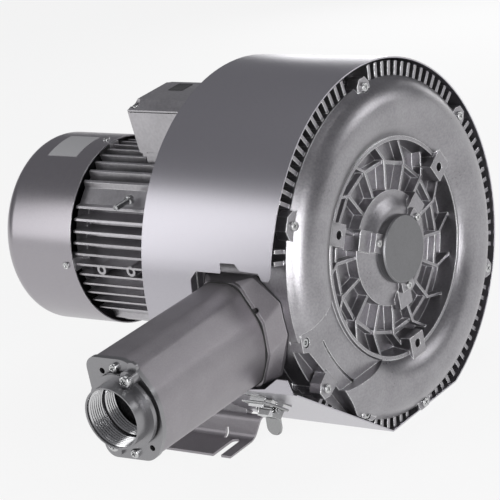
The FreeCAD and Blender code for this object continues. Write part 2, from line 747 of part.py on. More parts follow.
def shroud_path():
    top = Part.Arc(Vector(-shroud_r, 0, 0), Vector(0, 0, shroud_r),
                   Vector(shroud_r, 0, 0)).toShape()
    low_z = facet_low[1]
    mid = polar(shroud_r, -35)
    right = Part.Arc(Vector(shroud_r, 0, 0), Vector(mid[0], 0, mid[1]),
                     Vector(floor_right_x, 0, low_z)).toShape()
    rest = [(floor_right_x, low_z), facet_low, facet_high, (-shroud_r, 0)]
    lines = [Part.LineSegment(Vector(a[0], 0, a[1]), Vector(b[0], 0, b[1])).toShape()
             for a, b in zip(rest, rest[1:])]
    return Part.Wire([top, right] + lines)


def shroud():
    path = shroud_path()
    skin = Part.Face(path).cut(Part.Face(path.makeOffset2D(-shroud_sheet)))
    solid = skin.extrude(Vector(0, shroud_len, 0))
    # the left cut-out follows the cover's edge and the silencer's adapter, (y, z)
    left = [(-5, 150), (0, 150), (2, 100), (4.5, 70), (6, 52), (9, 48), (17, 48), (22, 56), (47, 57),
            (54, 64), (74, 64), (74, 53), (108, 53), (116, 44), (116, -74), (104, -84.5), (84, -84.5),
            (42, -80), (22, -66), (8, -66), (4, -82.5), (-5, -85)]
    solid = solid.cut(prism_x(left, -shroud_r - 20, -150))
    window = box(150, shroud_r + 5, inlet_y - 28, shroud_len + 1, port_z - 44, port_z + 44)
    return solid.cut(window)


def bent_path(points, radii):
    # open path of (x, z) corners, each inner corner with its own radius
    ends = [Vector(points[0][0], 0, points[0][1])]
    edges = []
    for i, radius in enumerate(radii, 1):
        corner = Vector(points[i][0], 0, points[i][1])
        back = (Vector(points[i - 1][0], 0, points[i - 1][1]) - corner).normalize()
        on = (Vector(points[i + 1][0], 0, points[i + 1][1]) - corner).normalize()
        half = back.getAngle(on) / 2
        centre = corner + (back + on).normalize() * (radius / math.sin(half))
        reach = radius / math.tan(half)
        start, stop = corner + back * reach, corner + on * reach
        middle = centre + (corner - centre).normalize() * radius
        edges += [Part.LineSegment(ends[-1], start).toShape(), Part.Arc(start, middle, stop).toShape()]
        ends.append(stop)
    edges.append(Part.LineSegment(ends[-1], Vector(points[-1][0], 0, points[-1][1])).toShape())
    return Part.Wire(edges)


def foot_bracket():
    t = foot_sheet
    low, top = foot_z, web_top_z
    half = [(foot_half_x, low), (foot_bend_x - t, low), (web_half_x - t, top - t)]
    outline = half + [(-x, z) for x, z in half[::-1]]
    bends = [foot_bend_r + t, web_bend_r, web_bend_r, foot_bend_r + t]
    hat = bent_path(outline, bends).makeOffset2D(-t, 0, True, True)
    hat = hat.extrude(Vector(0, foot_y1 - foot_wing_y0, 0))
    hat.translate(Vector(0, foot_wing_y0, 0))
    hat = hat.cut(box(-web_half_x + 8, foot_half_x + 1, foot_wing_y0 - 1, foot_y0, low - 1, top + 1))
    slope = prism_x([(foot_wing_y0 - 1, low - 1), (foot_wing_y0 + 14, low - 1),
                     (foot_wing_y0, top + 1), (foot_wing_y0 - 1, top + 1)], -200, 0)
    whole = hat.cut(slope)
    # relief slit at the left bend
    cuts = [box(-foot_bend_x - 6, -web_half_x + 2, 212, 216, low - 1, low + 13)]
    for side in (-1, 1):
        for y in foot_slot_y:
            x0, x1 = sorted((side * foot_slot_end_x, side * (foot_half_x + 1)))
            cuts.append(box(x0, x1, y - foot_slot_half, y + foot_slot_half, low - 1, low + t + 1))
            cuts.append(rod_z(foot_slot_half, low - 1, low + t + 1, side * foot_slot_end_x, y))
    cuts += [rod_z(m8 + hole_gap, top - t - 1, top + 1, x, y) for x, y in foot_bolt_points()]
    return whole.cut(cuts)


def foot_screws():
    made = []
    for x, y in foot_bolt_points():
        head = Part.Face(Part.makePolygon([Vector(x + 7.5 * math.cos(math.radians(60 * i)),
                                                  y + 7.5 * math.sin(math.radians(60 * i)),
                                                  web_top_z - foot_sheet) for i in range(7)]))
        made.append(union([head.extrude(Vector(0, 0, -5.3)),
                           rod_z(m8, web_top_z - foot_sheet - 0.2, web_top_z + 11, x, y)]))
    return group(made)


# Draw latch on the facet

def latch_catch():
    y0, y1 = latch_y - latch_half, latch_y + latch_half
    t0 = pivot_t - bail_back + bail_len - wire_r - 2.2
    return on_facet([(t0 - 1.5, 0), (t0 + 16, 0), (t0 + 16, 1.5), (t0 + 1.5, 1.5), (t0 + 1.5, 12),
                     (t0, 12), (t0, 1.5), (t0 - 1.5, 1.5)], y0, y1)


def latch_base():
    wide = latch_half + 4
    plate = on_facet([(pivot_t - 22, 0), (pivot_t + 14, 0), (pivot_t + 14, 1.5), (pivot_t - 22, 1.5)],
                     latch_y - wide, latch_y + wide)
    ears = []
    for y in (latch_y - wide, latch_y + wide - 1.5):
        cheek = on_facet([(pivot_t - 7, 1), (pivot_t + 7, 1), (pivot_t + 4, pivot_out),
                          (pivot_t - 4, pivot_out)], y, y + 1.5)
        ears.append(union([cheek, facet_rod(4.5, pivot_t, pivot_out, y, y + 1.5)]))
    return union([plate] + ears).cut(facet_rod(2.05, pivot_t, pivot_out, latch_y - 30, latch_y + 30))


def bail_point():
    return pivot_t - bail_back, pivot_out - 2


def latch_lever():
    q_t, q_out = bail_point()
    width = latch_half
    side = [(pivot_t + 4.5, pivot_out - 4), (pivot_t + 5, pivot_out + 3), (pivot_t + 4, pivot_out + 8),
            (q_t - 1, pivot_out + 8), (q_t - 3.5, q_out + 2), (q_t - 2, q_out - 3)]
    cheeks = [on_facet(side, y, y + 1.5) for y in (latch_y - width, latch_y + width - 1.5)]
    top = on_facet([(pivot_t + 4, pivot_out + 8), (q_t - 1, pivot_out + 8),
                    (q_t - 12, pivot_out + 25), (q_t - 10.5, pivot_out + 26),
                    (q_t, pivot_out + 9.6), (pivot_t + 4, pivot_out + 9.6)],
                   latch_y - width, latch_y + width)
    pin = facet_rod(2.0, pivot_t, pivot_out, latch_y - width - 5, latch_y + width + 5)
    whole = union([top] + cheeks)
    return union([whole, pin]).cut(facet_rod(wire_r + 0.05, q_t, q_out, latch_y - 30, latch_y + 30))


def latch_bail():
    q_t, q_out = bail_point()
    far_t = q_t + bail_len
    leg_y = latch_half + 7
    path = []
    for t, y in ((q_t, latch_y - latch_half + 0.2), (q_t, latch_y - leg_y), (far_t, latch_y - leg_y),
                 (far_t, latch_y + leg_y), (q_t, latch_y + leg_y), (q_t, latch_y + latch_half - 0.2)):
        x, z = facet_point(t, q_out)
        path.append(Vector(x, y, z))
    runs = []
    for a, b in zip(path, path[1:]):
        runs.append(Part.makeCylinder(wire_r, (b - a).Length, a, b - a))
    knees = [Part.makeSphere(wire_r, p) for p in path[1:-1]]
    return union(runs + knees)


# Motor

def housing_profile_fins():
    made = []
    count = int(math.sqrt(housing_fin_r ** 2 / 2) / housing_fin_pitch)
    for i in range(-count, count + 1):
        s = i * housing_fin_pitch
        h = housing_fin_thick / 2
        if abs(s) < 0.62 * housing_fin_r:
            made.append([(-housing_fin_r, s - h), (housing_fin_r, s - h),
                         (housing_fin_r, s + h), (-housing_fin_r, s + h)])
            made.append([(s - h, -housing_fin_r), (s + h, -housing_fin_r),
                         (s + h, housing_fin_r), (s - h, housing_fin_r)])
    return made


def motor_housing():
    y0, y1 = housing_y0, housing_y1
    shell_r = housing_bore_r + housing_wall
    fin_y1 = cowl_y0 - 0.6
    blades = [prism_y(p, y0 + 4, fin_y1) for p in housing_profile_fins()]
    corner = prism_y([(-8, 0), (8, 0), (11, 104), (-11, 104)], y0 + 4, fin_y1)
    corners = around(corner, shield_screw_angles())
    fins = union(blades + corners).common(rod(housing_fin_r, y0, fin_y1))
    fins = fins.cut(rod(shield_r + 0.5, y1, fin_y1 + 1))
    tube = rod(shell_r, y0, y1)
    seat = box(-34, 34, box_y0 + 12, box_y1 - 6, 60, box_floor_z)
    collar = [rod(shell_r + 9, y0, y0 + 8)]
    eyes = [rod_x(6.5, -housing_fin_r + 1, -shell_r + 2, y, z) for y, z in lifting_points]
    clear = box(-34, 34, box_y0 + 2, box_y1 + 2, 60, 130).cut(rod(shell_r, 0, 500))
    whole = union([fins.cut(clear), tube, seat] + collar + eyes)
    cuts = [rod(housing_bore_r, y0 - 1, y1 + 1)]
    cuts += [rod_x(3.3, -housing_fin_r, -housing_fin_r + 10, y, z) for y, z in lifting_points]
    cuts.append(box(-16, 16, box_y0 + 30, box_y1 - 24, 70, box_floor_z + 1))
    return whole.cut(cuts)


def stator_core():
    return ring(stack_bore_r, housing_bore_r - fit_gap, stack_y0, stack_y1)


def stator_windings():
    coil = [(54, 0), (58, -coil_len), (74, -coil_len), (79, 0)]
    front = turned([(r, stack_y0 + y) for r, y in coil])
    rear = turned([(r, stack_y1 - y) for r, y in coil])
    return group([front, rear])


def shield_screw_angles():
    return (45.0, 135.0, 225.0, 315.0)


def front_shield():
    # joins the motor housing to the rear casing
    y0 = casing_end_y
    disc = turned([(44, y0 - 6), (97.8, y0 - 6), (97.8, y0), (112, y0), (112, y0 + 8), (99, housing_y0),
                   (housing_bore_r - 0.1, housing_y0), (housing_bore_r - 0.1, housing_y0 + 6),
                   (housing_bore_r - 6, housing_y0 + 6), (housing_bore_r - 6, y0 + 6), (44, y0 + 6)])
    return disc


def rear_shield():
    y0 = housing_y1
    disc = turned([(bearing_r, rear_bearing_y), (bearing_r, rear_bearing_y + bearing_width),
                   (bearing_r + 8, rear_bearing_y + bearing_width), (bearing_r + 10, y0 + shield_thick),
                   (shield_r - 6, y0 + shield_thick), (shield_r - 6, cowl_screw_y - 5),
                   (shield_r, cowl_screw_y - 5), (shield_r, y0), (housing_bore_r - 0.1, y0),
                   (housing_bore_r - 0.1, y0 - 5), (housing_bore_r - 6, y0 - 5),
                   (housing_bore_r - 6, y0 + 3), (bearing_r + 8, y0 + 3), (bearing_r + 5, y0 - 2),
                   (bearing_bore_r + 2, y0 - 2), (bearing_bore_r + 2, rear_bearing_y)])
    lug = box(shield_r - 4, cowl_r - cowl_sheet - 0.3, cowl_y0, cowl_screw_y + 8, -8, 8)
    whole = union([disc] + around(lug, (0, 90, 180, 270)))
    holes = around(rod_x(m5, 90, cowl_r, cowl_screw_y, 0), (0, 90, 180, 270))
    y1 = y0 + shield_thick
    holes += around(rod(m6 + tap_gap, y1 - 7, y1 + 1, shield_screw_r, 0), shield_screw_angles())
    return whole.cut(holes)


def shield_screws():
    y = housing_y1 + shield_thick
    head = rod(1.6 * m6, y, y + 2 * m6, shield_screw_r).cut(rod(0.8 * m6, y + m6, y + 3 * m6, shield_screw_r))
    return group(around(union([head, rod(m6, y - 6, y + 0.2, shield_screw_r)]), shield_screw_angles()))


# Fan cowl

def fan_cowl():
    r, t, y0, y1, c = cowl_r, cowl_sheet, cowl_y0, cowl_y1, cowl_round
    k = c * (1 - math.sqrt(0.5))
    ki = (c - t) * (1 - math.sqrt(0.5))
    shell = turned([(r, y0), (r, y1 - c), ("arc", (r - k, y1 - k), (r - c, y1)), (0, y1), (0, y1 - t),
                    (r - c, y1 - t), ("arc", (r - t - ki, y1 - t - ki), (r - t, y1 - c)), (r - t, y0)])
    cuts = []
    for inner, outer, count in ((22, 50, 12), (56, 88, 24)):
        slot = box(inner, outer, y1 - 8, y1 + 1, -2.6, 2.6)
        cuts += [turn(slot, 360.0 * i / count) for i in range(count)]
    cuts += around(rod_x(m5 + hole_gap, r - 5, r + 5, cowl_screw_y, 0), (0, 90, 180, 270))
    return shell.cut(cuts)


def cowl_screws():
    one = union([rod_x(4.6, cowl_r, cowl_r + 2.6, cowl_screw_y, 0),
                 rod_x(m5 - 0.02, cowl_r - 12, cowl_r + 0.2, cowl_screw_y, 0)])
    return group(around(one, (0, 90, 180, 270)))


# Terminal box

def box_base():
    x, y0, y1, w = box_half_x, box_y0, box_y1, box_wall
    low = Part.makePolygon([Vector(a, b, box_floor_z + 6) for a, b in
                            ((-x + 3, y0 + 2), (x - 3, y0 + 2), (x - 3, y1 - 2), (-x + 3, y1 - 2),
                             (-x + 3, y0 + 2))])
    top = Part.makePolygon([Vector(a, b, box_rim_z) for a, b in
                            ((-x, y0), (x, y0), (x, y1), (-x, y1), (-x, y0))])
    body = Part.makeLoft([low, top], True, True)
    foot = box(-x + 5, x - 5, y0 + 6, y1 - 4, box_floor_z, box_floor_z + 6)
    whole = union([body, foot])
    whole = whole.cut(box(-x + 3 + w, x - 3 - w, y0 + 2 + w, y1 - 2 - w, box_floor_z + 5, box_rim_z + 1))
    corners = [box(px - 5, px + 5, py - 5, py + 5, box_floor_z + 5, box_rim_z)
               for px, py in lid_screw_points()]
    whole = union([whole] + corners)
    cuts = [box(-14, 14, y0 + 32, y1 - 26, box_floor_z - 1, box_floor_z + 7)]
    cuts += [rod_z(m5 - 0.5, box_rim_z - 14, box_rim_z + 1, px, py) for px, py in lid_screw_points()]
    cuts += [rod_x(plug_r, x - 12, x + 1, yy, 142) for yy in plug_ys]
    return whole.cut(cuts)


def lid_screw_points():
    return [(sx * (box_half_x - 8), yy) for sx in (-1, 1) for yy in (box_y0 + 8, box_y1 - 8)]


def box_lid():
    x, y0, y1, b = box_half_x, box_y0, box_y1, lid_bevel
    z0 = box_rim_z + lid_gasket

    def rim(inset_x, inset_y, z):
        return Part.makePolygon([Vector(px, py, z) for px, py in
                                 ((-x + inset_x, y0 + inset_y), (x - inset_x, y0 + inset_y),
                                  (x - inset_x, y1 - inset_y), (-x + inset_x, y1 - inset_y),
                                  (-x + inset_x, y0 + inset_y))])
    slab = box(-x, x, y0, y1, z0, z0 + 2)
    roof = Part.makeLoft([rim(0.5, 0.5, z0 + 2), rim(b, b - 5, box_top_z)], True, True)
    hollow = Part.makeLoft([rim(15, 15, z0), rim(b + 8, b + 6, box_top_z - 3)], True, True)
    whole = union([slab, roof]).cut(hollow)
    cuts = [rod_z(m5 - 0.2, z0 - 1, z0 + 12, px, py) for px, py in lid_screw_points()]
    cuts += [rod_z(6.2, z0 + 2.5, z0 + 20, px, py) for px, py in lid_screw_points()]
    return whole.cut(cuts)


def lid_seal():
    x = box_half_x
    sheet = box(-x + 0.5, x - 0.5, box_y0 + 0.5, box_y1 - 0.5, box_rim_z, box_rim_z + lid_gasket)
    inner = box(-x + 15, x - 15, box_y0 + 15, box_y1 - 15, box_rim_z - 1, box_rim_z + 2)
    return sheet.cut([inner] + [rod_z(m5 + hole_gap, box_rim_z - 1, box_rim_z + 2, px, py)
                                for px, py in lid_screw_points()])


def lid_screws():
    z = box_rim_z + lid_gasket + 2.5
    return group(union([rod_z(4.6, z, z + 3.2, px, py), rod_z(m5 - 0.55, z - 14, z + 0.2, px, py)])
                 for px, py in lid_screw_points())


def terminal_block():
    z0 = box_floor_z + 5
    base = box(-24, 24, box_y0 + 20, box_y0 + 30, z0, z0 + 14)
    studs = [rod_z(2.5, z0 + 13, z0 + 24, x, box_y0 + 25) for x in (-16, 0, 16)]
    return union([base] + studs)


def gland_plugs():
    made = []
    for y in plug_ys:
        x0 = box_half_x - 1.4
        thread = rod_x(plug_r - 0.05, x0 - 9, x0 + 0.2, y, 142)
        hexagon = prism_x([(y + 13 * math.cos(math.radians(60 * i)), 142 + 13 * math.sin(math.radians(60 * i)))
                           for i in range(6)], x0 + 1.6, x0 + 7)
        made.append(union([thread, rod_x(plug_r - 0.05, x0, x0 + 2, y, 142), hexagon]))
    return group(made)


def build():
    nodes = {
        "front_cover": front_cover(),
        "hub_cap": hub_cap(),
        "hub_cap_screws": screws_at(pan_screw, m5, hub_face_y - 5, 5, 45, pad_angles),
        "cover_screws": screws_at(pan_screw, m6, -5, screw_end_y, ear_r, ear_angles),
        "tie_screws": group(socket_screw(m6, 3, tie_end_y, x, z) for x, z in tie_points),
        "front_gasket": front_gasket(),
        "middle_casing": middle_casing(),
        "rear_gasket": ring(pocket_r + 0.5, casing_r - 0.5, rear_joint_y - gasket, rear_joint_y),
        "rear_casing": rear_casing(),
        "front_impeller": impeller(front_impeller_y),
        "rear_impeller": impeller(rear_impeller_y),
        "shaft": shaft(),
        "rotor_core": rotor_core(),
        "spacer_sleeve": spacer_sleeve(),
        "impeller_nut": impeller_nut(),
        "cooling_fan": cooling_fan(),
        "front_bearing": bearing(front_bearing_y),
        "rear_bearing": bearing(rear_bearing_y),
        "shaft_seals": group([seal(rear_inner_y + 4), seal(rear_inner_y + 14)]),
        "outlet_adapter": outlet_adapter(),
        "outlet_gasket": outlet_gasket(),
        "silencer_tube": silencer_tube(),
        "silencer_liner": silencer_liner(),
        "silencer_end_plate": silencer_end_plate(),
        "outlet_flange": threaded_flange(-1, flange_x, neck_y, neck_z, clamp_points()),
        "outlet_flange_screws": group(side_screw(-1, m8, flange_x + flange_thick, 14, y, z)
                                      for y, z in clamp_points()),
        "end_plate_screws": group(side_screw(-1, m6, flange_x, 18, y, z)
                                  for y, z in plate_screw_points()),
        "inlet_adapter": inlet_adapter(),
        "inlet_gasket": inlet_gasket(),
        "inlet_flange": threaded_flange(1, inlet_flange_x(), inlet_y, port_z, inlet_ear_points()),
        "inlet_flange_screws": group(side_screw(1, m8, inlet_flange_x() + flange_thick, 14, y, z)
                                     for y, z in inlet_ear_points()),
        "shroud": shroud(),
        "foot_bracket": foot_bracket(),
        "foot_screws": foot_screws(),
        "latch_base": latch_base(),
        "latch_catch": latch_catch(),
        "latch_lever": latch_lever(),
        "latch_bail": latch_bail(),
        "motor_housing": motor_housing(),
        "stator_core": stator_core(),
        "stator_windings": stator_windings(),
        "front_shield": front_shield(),
        "rear_shield": rear_shield(),
        "shield_screws": shield_screws(),
        "fan_cowl": fan_cowl(),
        "cowl_screws": cowl_screws(),
        "terminal_box": box_base(),
        "terminal_lid": box_lid(),
        "lid_seal": lid_seal(),
        "lid_screws": lid_screws(),
        "terminal_block": terminal_block(),
        "gland_plugs": gland_plugs(),
    }
    os.makedirs("parts", exist_ok=True)
    for name, shape in nodes.items():
        place(shape).exportStep("parts/" + name + ".step")
    return nodes


build()
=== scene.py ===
import json
import math
import bpy
from mathutils import Matrix, Vector


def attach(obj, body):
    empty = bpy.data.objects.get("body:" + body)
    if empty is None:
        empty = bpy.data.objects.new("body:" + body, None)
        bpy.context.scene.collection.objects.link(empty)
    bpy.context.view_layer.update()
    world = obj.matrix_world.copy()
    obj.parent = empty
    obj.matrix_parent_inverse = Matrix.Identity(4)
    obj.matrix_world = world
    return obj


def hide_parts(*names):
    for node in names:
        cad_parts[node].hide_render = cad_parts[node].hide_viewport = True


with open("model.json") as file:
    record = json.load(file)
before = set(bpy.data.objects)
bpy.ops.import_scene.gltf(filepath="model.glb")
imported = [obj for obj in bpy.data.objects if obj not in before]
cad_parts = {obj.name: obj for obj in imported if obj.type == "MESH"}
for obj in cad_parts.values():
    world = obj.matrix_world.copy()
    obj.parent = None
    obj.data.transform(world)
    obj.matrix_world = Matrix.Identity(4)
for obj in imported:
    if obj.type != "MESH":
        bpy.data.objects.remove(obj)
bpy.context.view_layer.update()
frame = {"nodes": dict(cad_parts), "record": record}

nodes = frame["nodes"]
record = frame["record"]
mm = 0.001
scene = bpy.context.scene
bodyOf = {node: body for body, names in record["behaviour"]["bodies"].items() for node in names}
slotOf = {part["node"]: part["material_slot"] for part in record["subparts"]}

# Shaft axis: along Y at x = 0. Sizes below are millimetres from the shaft and from the shroud's front.
shaftShift = Vector((0.0, -245.0, 215.0))


def spot(x, y, z):
    return (Vector((x, y, z)) + shaftShift) * mm


def clearSelection():
    if bpy.context.object and bpy.context.object.mode != "OBJECT":
        bpy.ops.object.mode_set(mode="OBJECT")
    bpy.ops.object.select_all(action="DESELECT")


def selectOnly(*objects):
    clearSelection()
    for thing in objects:
        thing.select_set(True)
    bpy.context.view_layer.objects.active = objects[0]


def settle(piece):
    # leaves the finished object at the origin, unturned and unscaled
    selectOnly(piece)
    bpy.ops.object.transform_apply(location=True, rotation=True, scale=True)


def startPicking(piece, kind):
    # leaves nothing selected, with the select mode set to VERT, EDGE or FACE
    selectOnly(piece)
    bpy.ops.object.mode_set(mode="EDIT")
    bpy.ops.mesh.select_mode(type=kind)
    bpy.ops.mesh.select_all(action="DESELECT")
    bpy.ops.object.mode_set(mode="OBJECT")


def pickFaces(piece, wanted):
    # edit mode: selects the faces whose middle and normal pass the test
    startPicking(piece, "FACE")
    for face in piece.data.polygons:
        face.select = wanted(face.center, face.normal)
    bpy.ops.object.mode_set(mode="EDIT")


def pickEdges(piece, wanted):
    # edit mode: selects the edges whose two ends pass the test
    startPicking(piece, "EDGE")
    points = piece.data.vertices
    for edge in piece.data.edges:
        edge.select = wanted(*(points[i].co for i in edge.vertices))
    bpy.ops.object.mode_set(mode="EDIT")


def pickPoints(piece, wanted):
    # edit mode: selects the points whose place passes the test
    startPicking(piece, "VERT")
    for point in piece.data.vertices:
        point.select = wanted(point.co)
    bpy.ops.object.mode_set(mode="EDIT")


def smoothByAngle(piece, degrees):
    selectOnly(piece)
    bpy.ops.object.shade_smooth_by_angle(angle=math.radians(degrees))


def faceOutwards():
    # edit mode: turns all faces of the open mesh outwards
    bpy.ops.mesh.select_all(action="SELECT")
    bpy.ops.mesh.normals_make_consistent(inside=False)
    bpy.ops.object.mode_set(mode="OBJECT")


def breakEdges(piece, width, sharperThan):
    # narrow rounding along the sharp edges, width in mm
    edge = piece.modifiers.new("edge", "BEVEL")
    edge.width = width * mm
    edge.segments = 2
    edge.limit_method = "ANGLE"
    edge.angle_limit = math.radians(sharperThan)
    selectOnly(piece)
    bpy.ops.object.modifier_apply(modifier="edge")
    smoothByAngle(piece, 40)


def cutAway(piece, cutters):
    for cutter in cutters:
        hole = piece.modifiers.new("hole", "BOOLEAN")
        hole.object = cutter
        hole.solver = "EXACT"
        selectOnly(piece)
        bpy.ops.object.modifier_apply(modifier="hole")
        bpy.data.objects.remove(cutter)
    smoothByAngle(piece, 35)


def crossRod(name, radius, x0, x1, y, z, sides=48):
    # cylinder along X as a cutter or a start
    clearSelection()
    bpy.ops.mesh.primitive_cylinder_add(vertices=sides, radius=radius * mm, depth=abs(x1 - x0) * mm,
                                        location=spot((x0 + x1) / 2, y, z), rotation=(0, math.pi / 2, 0))
    bpy.context.object.name = name
    return bpy.context.object


# Camera at the photograph's view
cameraSetup = {"lens": 184.18, "sensor": 36.0, "azimuth": -48.965, "elevation": 20.0, "roll": -12.104,
               "offset": (-158.626, -2.5426, 2879.848)}


def placeCamera():
    a, e, r = (math.radians(cameraSetup[k]) for k in ("azimuth", "elevation", "roll"))
    back = Vector((math.sin(a) * math.cos(e), -math.cos(a) * math.cos(e), math.sin(e)))
    right = Vector((math.cos(a), math.sin(a), 0.0))
    up = back.cross(right)
    c, s = math.cos(r), math.sin(r)
    axes = (c * right + s * up, -s * right + c * up, back)
    place = sum((axes[i] * cameraSetup["offset"][i] for i in range(3)), Vector())
    place = (place + shaftShift) * mm
    clearSelection()
    bpy.ops.object.camera_add()
    camera = bpy.context.object
    camera.name = "studioCamera"
    turn = Matrix((axes[0], axes[1], axes[2])).transposed()
    camera.matrix_world = Matrix.Translation(place) @ turn.to_4x4()
    camera.data.lens = cameraSetup["lens"]
    camera.data.sensor_width = cameraSetup["sensor"]
    camera.data.clip_end = 50
    scene.camera = camera


placeCamera()
print("camera placed")

scene.view_settings.view_transform = "Standard"


def mathNode(tree, operation, a, b=None, c=None):
    node = tree.nodes.new("ShaderNodeMath")
    node.operation = operation
    for i, value in enumerate((a, b, c)):
        if value is None:
            continue
        if isinstance(value, (int, float)):
            node.inputs[i].default_value = value
        else:
            tree.links.new(value, node.inputs[i])
    return node.outputs[0]


# Studio: grey room, soft panels about the machine, pale floor. A panel is place, width, height, power (W).
studio = {"world": (0.5, 0.5, 0.53), "worldStrength": 0.36,
          "panels": {"backLeft": ((-1.78, 1.62, 1.12), 1.0, 1.6, 10),
                     "frontLeft": ((-1.35, -2.0, 0.75), 0.45, 1.3, 26),
                     "frontRight": ((1.4, -1.6, 0.85), 0.6, 0.5, 4),
                     "right": ((1.6, 0.4, 0.4), 1.2, 0.5, 4),
                     "overhead": ((0.0, -0.4, 2.8), 1.8, 1.8, 15)},
          "aim": (0.0, -0.05, 0.2), "floorSize": 60.0, "floorTone": (0.88, 0.88, 0.88), "floorGlow": 0.86}


def softPanel(name, place, width, height, power):
    clearSelection()
    bpy.ops.object.light_add(type="AREA", location=place)
    panel = bpy.context.object
    panel.name = name + "Panel"
    panel.data.shape = "RECTANGLE"
    panel.data.size = width
    panel.data.size_y = height
    panel.data.energy = power
    aim = Vector(studio["aim"]) - Vector(place)
    panel.rotation_euler = aim.to_track_quat("-Z", "Y").to_euler()
    panel.visible_camera = False


def buildStudio():
    world = bpy.data.worlds.new("studioWorld")
    scene.world = world
    world.use_nodes = True
    glow = world.node_tree.nodes["Background"]
    glow.inputs["Color"].default_value = (*studio["world"], 1)
    glow.inputs["Strength"].default_value = studio["worldStrength"]
    for name, panel in studio["panels"].items():
        softPanel(name, *panel)
    clearSelection()
    bpy.ops.mesh.primitive_plane_add(size=studio["floorSize"], location=(0, 0, 0))
    floor = bpy.context.object
    floor.name = "studioFloor"
    paint = bpy.data.materials.new("floorPaper")
    paint.use_nodes = True
    tree = paint.node_tree
    shader = tree.nodes["Principled BSDF"]
    shader.inputs["Base Color"].default_value = (*studio["floorTone"], 1)
    shader.inputs["Roughness"].default_value = 0.9
    shader.inputs["Specular IOR Level"].default_value = 0.0
    # the paper is lighter to the eye and in reflections than the lamps make it
    glow = tree.nodes.new("ShaderNodeEmission")
    rays = tree.nodes.new("ShaderNodeLightPath")
    seen = mathNode(tree, "MAXIMUM", rays.outputs["Is Camera Ray"], rays.outputs["Is Glossy Ray"])
    seen = mathNode(tree, "MAXIMUM", seen, rays.outputs["Is Transmission Ray"])
    mix = tree.nodes.new("ShaderNodeMixShader")
    tree.links.new(mathNode(tree, "MULTIPLY", seen, studio["floorGlow"]), mix.inputs[0])
    tree.links.new(shader.outputs[0], mix.inputs[1])
    tree.links.new(glow.outputs[0], mix.inputs[2])
    tree.links.new(mix.outputs[0], tree.nodes["Material Output"].inputs["Surface"])
    floor.data.materials.append(paint)


buildStudio()
print("studio built")


# Shader groups shared by the finishes
def newGroup(name, inputs, outputs):
    group = bpy.data.node_groups.new(name, "ShaderNodeTree")
    for label, value in inputs:
        socket = group.interface.new_socket(name=label, in_out="INPUT", socket_type="NodeSocketFloat")
        socket.default_value = value
    for label in outputs:
        kind = "NodeSocketVector" if label == "Normal" else "NodeSocketFloat"
        group.interface.new_socket(name=label, in_out="OUTPUT", socket_type=kind)
    start = group.nodes.new("NodeGroupInput")
    end = group.nodes.new("NodeGroupOutput")
    return group, start, end


def noiseNode(tree, vector, scale, detail=4.0, roughness=0.55):
    node = tree.nodes.new("ShaderNodeTexNoise")
    node.inputs["Detail"].default_value = detail
    node.inputs["Roughness"].default_value = roughness
    tree.links.new(vector, node.inputs["Vector"])
    if isinstance(scale, (int, float)):
        node.inputs["Scale"].default_value = scale
    else:
        tree.links.new(scale, node.inputs["Scale"])
    return node.outputs["Fac"]


def buildCastGrain():
    # blasted casting: fine pits over a slow mottle
    group, start, end = newGroup("castGrain", [("Grain", 900.0), ("Patch", 22.0)], ["Height", "Mottle"])
    here = group.nodes.new("ShaderNodeTexCoord").outputs["Object"]
    fine = noiseNode(group, here, start.outputs["Grain"], 5.0, 0.65)
    pits = group.nodes.new("ShaderNodeTexVoronoi")
    group.links.new(here, pits.inputs["Vector"])
    group.links.new(mathNode(group, "MULTIPLY", start.outputs["Grain"], 0.6), pits.inputs["Scale"])
    height = mathNode(group, "MULTIPLY_ADD", pits.outputs["Distance"], 0.35, fine)
    group.links.new(height, end.inputs["Height"])
    slow = noiseNode(group, here, start.outputs["Patch"], 4.0, 0.6)
    speck = noiseNode(group, here, mathNode(group, "MULTIPLY", start.outputs["Grain"], 0.45), 2.0, 0.5)
    blend = mathNode(group, "MULTIPLY_ADD", speck, 0.45, mathNode(group, "MULTIPLY", slow, 0.55))
    group.links.new(blend, end.inputs["Mottle"])
    return group


def buildEdgeWearAndHighlight():
    # softened edges and their bright rub marks, which double as a painted edge highlight: Mask is 1 on an
    # edge, 0 on flat ground
    group, start, end = newGroup("edgeWearAndHighlight", [("Width", 0.0008), ("Breakup", 60.0)], ["Mask", "Normal"])
    soft = group.nodes.new("ShaderNodeBevel")
    soft.samples = 4
    group.links.new(start.outputs["Width"], soft.inputs["Radius"])
    flat = group.nodes.new("ShaderNodeNewGeometry")
    dot = group.nodes.new("ShaderNodeVectorMath")
    dot.operation = "DOT_PRODUCT"
    group.links.new(soft.outputs["Normal"], dot.inputs[0])
    group.links.new(flat.outputs["Normal"], dot.inputs[1])
    bare = mathNode(group, "MULTIPLY", mathNode(group, "SUBTRACT", 1.0, dot.outputs["Value"]), 6.0)
    here = group.nodes.new("ShaderNodeTexCoord").outputs["Object"]
    breakup = noiseNode(group, here, start.outputs["Breakup"], 3.0, 0.6)
    rubbedAndLitEdge = mathNode(group, "MULTIPLY", bare, mathNode(group, "MULTIPLY_ADD", breakup, 1.2, 0.1))
    group.links.new(mathNode(group, "MINIMUM", rubbedAndLitEdge, 1.0), end.inputs["Mask"])
    group.links.new(soft.outputs["Normal"], end.inputs["Normal"])
    return group


def buildPaintFleck():
    # metallic lacquer: tiny flakes and a faint orange peel
    group, start, end = newGroup("paintFleck", [("Fleck", 2600.0), ("Peel", 160.0)], ["Height", "Spark"])
    here = group.nodes.new("ShaderNodeTexCoord").outputs["Object"]
    flakes = noiseNode(group, here, start.outputs["Fleck"], 2.0, 0.7)
    peel = noiseNode(group, here, start.outputs["Peel"], 2.0, 0.4)
    group.links.new(mathNode(group, "MULTIPLY_ADD", flakes, 0.12, peel), end.inputs["Height"])
    group.links.new(flakes, end.inputs["Spark"])
    return group


